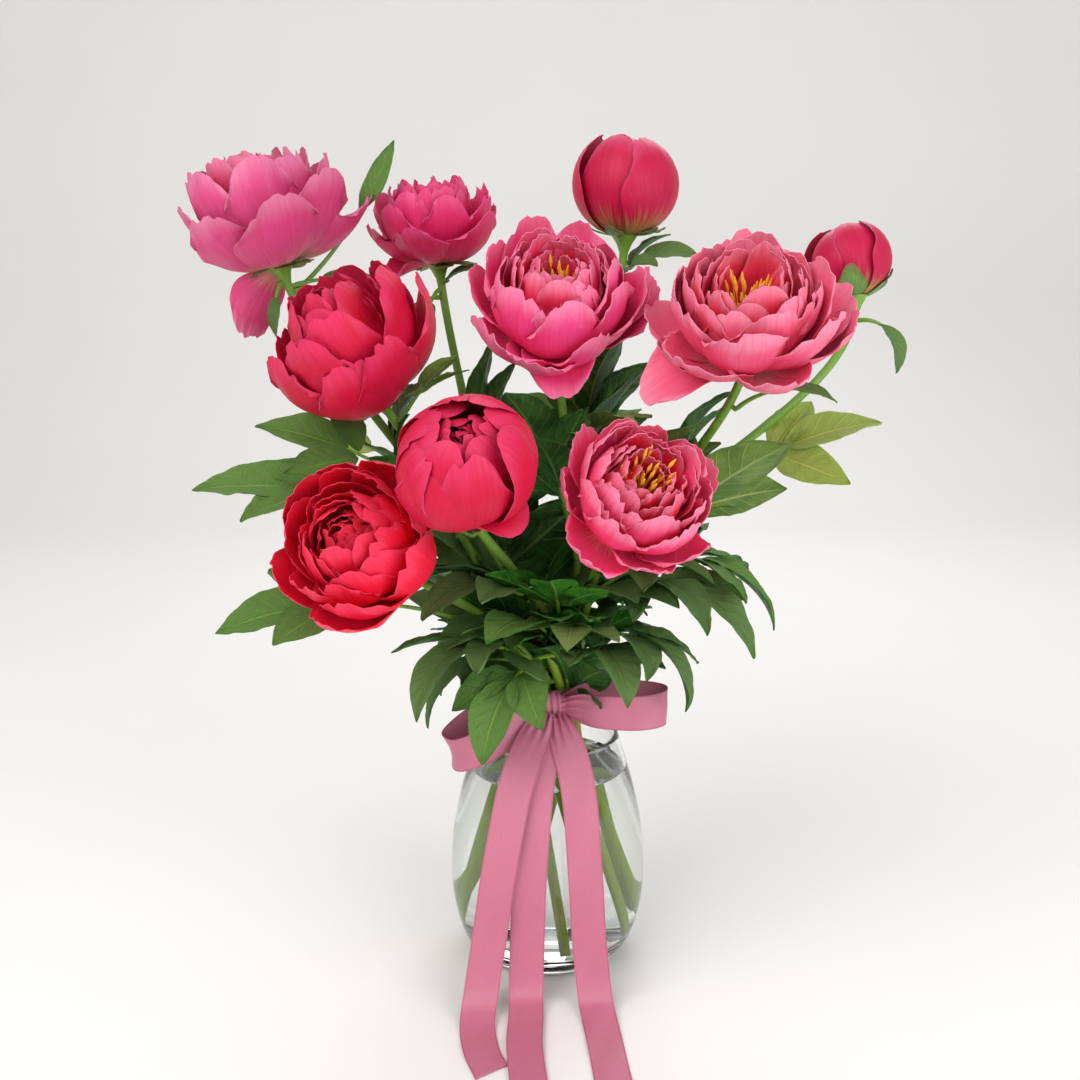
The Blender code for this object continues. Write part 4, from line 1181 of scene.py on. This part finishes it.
# %% Ribbon
RIBBON_WIDTH = 0.025
RIBBON_THICKNESS = 0.0007
BAND_RADIUS = 0.0275
KNOT = Vector((0.004, -0.0372, 0.2085))
KNOT_HALF = Vector((0.0085, 0.0065, 0.011))
KNOT_TURN = 0.009  # the mean radius of the ribbon's turn round the knot
GRIP_REACH = 0.013  # how far from a gripped end the pleats have mostly opened
PER_SPAN = 16  # rows between two points of a route
COLUMNS = 28  # quads across a ribbon
SHARES = [k / COLUMNS for k in range(COLUMNS + 1)]


def satin_material():
    """Woven satin: floats run along the ribbon, and a firmer selvedge runs down both edges."""
    material, tree = new_material("pink_satin", Sheen_Weight=0.12, Sheen_Roughness=0.3,
                                  Sheen_Tint=(1.0, 0.62, 0.72, 1), Specular_IOR_Level=0.55)
    u, v, _ = parts_of(uv_map(tree))
    floats = sin(u * (2 * math.pi * 62)) * 0.5 + sin(v * (2 * math.pi * 1600)) * 0.5
    slub = noise(point(u * 60.0, v * 120.0), 1.0, 3.0)
    selvedge = ramp(abs(u - 0.5) * 2.0, 0.90, 0.93)
    colour = paint((0.51, 0.125, 0.205), (slub, (0.58, 0.180, 0.275)),
                   (selvedge * 0.4, (0.37, 0.060, 0.125)))
    relief = floats * 0.4 + slub + selvedge * 0.8
    return dress(material, Base_Color=colour, Roughness=selvedge * 0.15 + slub * 0.12 + 0.28,
                 Normal=bump(relief, 0.00016, 0.45))


SATIN = satin_material()


def cloth(name, rows, closed=False):
    """A thin solid from rows of (place, normal, u, v). Closed joins the last row to the first."""
    bm = bmesh.new()
    layer = bm.loops.layers.uv.new("UVMap")
    marks, grids = {}, []
    for half in (RIBBON_THICKNESS / 2, -RIBBON_THICKNESS / 2):
        grid = [[bm.verts.new(place + normal * half) for place, normal, _, _ in row] for row in rows]
        for line, row in zip(grid, rows):
            marks.update((vert, spot[2:]) for vert, spot in zip(line, row))
        grids.append(grid)
    front, back = grids
    count, across = len(rows), range(len(rows[0]) - 1)
    for near in range(count if closed else count - 1):
        far = (near + 1) % count
        for k in across:
            bm.faces.new((front[near][k], front[near][k + 1], front[far][k + 1], front[far][k]))
            bm.faces.new((back[near][k + 1], back[near][k], back[far][k], back[far][k + 1]))
        bm.faces.new((back[near][0], front[near][0], front[far][0], back[far][0]))
        bm.faces.new((front[near][-1], back[near][-1], back[far][-1], front[far][-1]))
    for i in () if closed else (0, -1):
        for k in across:
            ends = (front[i][k + 1], front[i][k], back[i][k], back[i][k + 1])
            bm.faces.new(ends if i == 0 else ends[::-1])
    for face in bm.faces:
        for corner in face.loops:
            corner[layer].uv = marks[corner.vert]
    bmesh.ops.recalc_face_normals(bm, faces=bm.faces)
    return mesh_from(bm, name, SATIN)


def tie_on(name, mesh, flat_length, held, rests_on):
    piece = shown(name, [mesh], "satin", name)
    print(name, "flat length", round(flat_length, 3), "m")


# %% The turn round the stems, and the knot
def wound(name, count, radius, spot):
    """A closed turn of ribbon. Spot gives the place and normal at an angle, and from -1 to 1
    across."""
    rows = []
    for turn in (2 * math.pi * i / count for i in range(count)):
        rows.append([(*spot(turn, (u - 0.5) * 2), u, turn * radius) for u in SHARES])
    return cloth(name, rows, closed=True)


def band_spot(turn, off):
    """On the turn round the stems, drawn in so that it creases into three folds."""
    out = Vector((math.cos(turn), math.sin(turn), 0))
    folds = 0.0009 * math.cos(off * math.pi * 3 + 0.9 * math.sin(turn * 2))
    press = 0.0007 * math.cos(turn * 10 + 0.6)
    radius = BAND_RADIUS - 0.0006 + folds + press * (1 - off * off) + 0.0012 * off * off
    return out * radius + Vector((0, 0, TIE_HEIGHT + off * RIBBON_WIDTH / 2)), out


def knot_spot(turn, off):
    """On the turn of ribbon over the bow's middle, pleated and pulled tight."""
    pleat = 0.0008 * math.cos(off * math.pi * 4 + math.sin(turn) * 1.2) - 0.0026 * off**4
    spot = Vector((off * KNOT_HALF.x * (1.0 - 0.12 * math.cos(turn)),
                   math.cos(turn) * (KNOT_HALF.y - 0.0010 + pleat),
                   math.sin(turn) * (KNOT_HALF.z - 0.0010 + pleat) - 0.0015 * off))
    return KNOT + spot, Vector((0, math.cos(turn), math.sin(turn)))


band = wound("ribbon_band", 120, BAND_RADIUS, band_spot)
tie_on("ribbon_band", band, 2 * math.pi * BAND_RADIUS, "gathered",
       ["stem_" + flower.name for flower in FLOWERS])
knot = wound("bow_knot", 72, KNOT_TURN, knot_spot)
tie_on("bow_knot", knot, 2 * math.pi * KNOT_TURN, "gathered", ["ribbon_band"])


# %% A length of ribbon
def smooth_route(points):
    """A Catmull-Rom curve through a few points."""
    padded = [2 * points[0] - points[1], *points, 2 * points[-1] - points[-2]]
    route = []
    for i in range(1, len(padded) - 2):
        a, b, c, d = padded[i - 1 : i + 3]
        for t in (step / PER_SPAN for step in range(PER_SPAN)):
            route.append(0.5 * (2 * b + (c - a) * t + (2 * a - 5 * b + 4 * c - d) * t**2
                                + (3 * b - a - 3 * c + d) * t**3))
    return route + [points[-1]]


def ribbon(name, points, across, grips=(1.0, 1.0), slant=0.0, sway=0.0008):
    """A length of ribbon along a smooth route. Across is its width direction at its start and its
    end, grips says how far each end is gathered, and slant cuts the far end at an angle."""
    route = smooth_route(points)
    first, last = (Vector(side).normalized() for side in across)
    lengths, rows = runs(route), []
    total = lengths[-1]
    for i, (place, run) in enumerate(zip(route, lengths)):
        along = way_at(route, i)
        side = first.lerp(last, i / (len(route) - 1)).normalized()
        side = (side - along * side.dot(along)).normalized()
        normal = along.cross(side)
        grip = sum(share * math.exp(-((far / GRIP_REACH) ** 1.6))
                   for share, far in zip(grips, (run, total - run)))
        row = []
        for u in SHARES:
            off = (u - 0.5) * 2
            pleat = 0.0021 * grip * math.cos(off * math.pi * 3.5)
            bowed = sway * (1 - 2 * off * off) * math.sin(run * 95 + off)
            spot = place + side * (off * RIBBON_WIDTH / 2 * (1 - 0.50 * grip))
            spot += normal * (pleat + bowed * min(1.0, run / 0.02)) + along * slant * off * run / total
            row.append((spot, normal, u, run))
        rows.append(row)
    return cloth(name, rows), total


def past(place, *offsets):
    """Points at some offsets from a place."""
    return [place + Vector(offset) for offset in offsets]


# %% The loops
RIGHT, LEFT = KNOT + Vector((0.0125, 0, 0)), KNOT - Vector((0.0125, 0, 0))
LOOPS = {  # the way out and back, and the ribbon's width direction at both ends
    "bow_loop_right": ([
        *past(KNOT, (0.004, -0.0030, 0.0)),
        *past(RIGHT, (0.006, -0.006, 0.0), (0.022, -0.012, -0.001), (0.050, -0.014, -0.001),
              (0.068, -0.006, 0.000), (0.066, 0.006, 0.002), (0.040, 0.012, 0.003),
              (0.014, 0.008, 0.003)),
        *past(KNOT, (0.005, 0.0025, 0.001))], ((0.05, 0, 1), (0.0, 0.25, 1))),
    "bow_loop_left": ([
        *past(KNOT, (-0.004, -0.0030, -0.001)),
        *past(LEFT, (-0.005, -0.007, -0.005), (-0.018, -0.013, -0.013), (-0.040, -0.018, -0.026),
              (-0.059, -0.012, -0.034), (-0.063, 0.001, -0.030), (-0.044, 0.010, -0.016),
              (-0.018, 0.008, -0.004)),
        *past(KNOT, (-0.005, 0.0025, 0.002))], ((-0.35, 0, 1), (-0.2, 0.2, 1))),
}
for name, (points, across) in LOOPS.items():
    tie_on(name, *ribbon(name, points, across), "folded", ["bow_knot"])

# %% The tails
LOW = KNOT - Vector((0, 0, KNOT_HALF.z))
ORIGIN = Vector()
TAILS = {  # the way down the belly and over the ground, the width direction, and the end's slant
    "ribbon_tail_left": ([
        *past(KNOT, (-0.003, -0.006, -0.005)), *past(LOW, (-0.009, -0.013, 0.002)),
        *past(ORIGIN, (-0.022, -0.072, 0.165), (-0.034, -0.0905, 0.110), (-0.042, -0.0935, 0.055),
              (-0.048, -0.103, 0.016), (-0.050, -0.122, 0.0026), (-0.046, -0.150, 0.0010),
              (-0.038, -0.174, 0.0010))], ((1, -0.10, 0.05), (1, 0.15, 0)), -0.004),
    "ribbon_tail_middle": ([
        *past(KNOT, (0.0, -0.005, -0.006)), *past(LOW, (-0.004, -0.010, -0.002)),
        *past(ORIGIN, (-0.008, -0.068, 0.160), (-0.013, -0.0850, 0.105), (-0.015, -0.0870, 0.055),
              (-0.016, -0.094, 0.014), (-0.016, -0.112, 0.0040), (-0.0165, -0.150, 0.0032),
              (-0.012, -0.200, 0.0010), (-0.008, -0.235, 0.0010))], ((1, 0, 0), (1, 0, 0)), 0.0),
    "ribbon_tail_right": ([
        *past(KNOT, (0.003, -0.006, -0.004)), *past(LOW, (0.006, -0.012, -0.001)),
        *past(ORIGIN, (0.021, -0.070, 0.160), (0.026, -0.0862, 0.105), (0.029, -0.0885, 0.055),
              (0.033, -0.096, 0.014), (0.036, -0.114, 0.0026), (0.040, -0.155, 0.0010),
              (0.043, -0.200, 0.0010), (0.044, -0.243, 0.0010))], ((1, -0.05, 0), (1, -0.06, 0)), 0.0),
}
for name, (points, across, slant) in TAILS.items():
    mesh, run = ribbon(name, points, across, grips=(1.0, 0.0), slant=slant, sway=0.0004)
    tie_on(name, mesh, run, "hung", ["bow_knot", "glass_vase"])

# %% [markdown]
# ## Floor
# The floor is matt and pale, and it sweeps up into a wall far behind, so that no horizon crosses
# the blooms.

# %% Floor
FLOOR_HALF, WALL_START, WALL_TOP, SWEEP_RADIUS = 4.0, 1.6, 4.0, 0.8
bend = [(WALL_START + SWEEP_RADIUS * math.sin(a), SWEEP_RADIUS - SWEEP_RADIUS * math.cos(a))
        for a in (math.radians(9 * i) for i in range(11))]
profile = [(-FLOOR_HALF, 0.0), *bend, (WALL_START + SWEEP_RADIUS, WALL_TOP)]
corners = [(x, y, z) for y, z in profile for x in (-FLOOR_HALF, FLOOR_HALF)]
faces = [(2 * i, 2 * i + 1, 2 * i + 3, 2 * i + 2) for i in range(len(profile) - 1)]
floor_mesh = bpy.data.meshes.new("floor")
floor_mesh.from_pydata(corners, [], faces)
floor_mesh.shade_smooth()
floor = linked("floor", floor_mesh)
floor_finish, floor_tree = new_material("pale_floor", Roughness=0.75)
mottle = noise(own_place(floor_tree), 3.0, 3.0)
dress(floor_finish, Base_Color=paint((0.86, 0.848, 0.83), (mottle, (0.90, 0.888, 0.87))))
floor.data.materials.append(floor_finish)
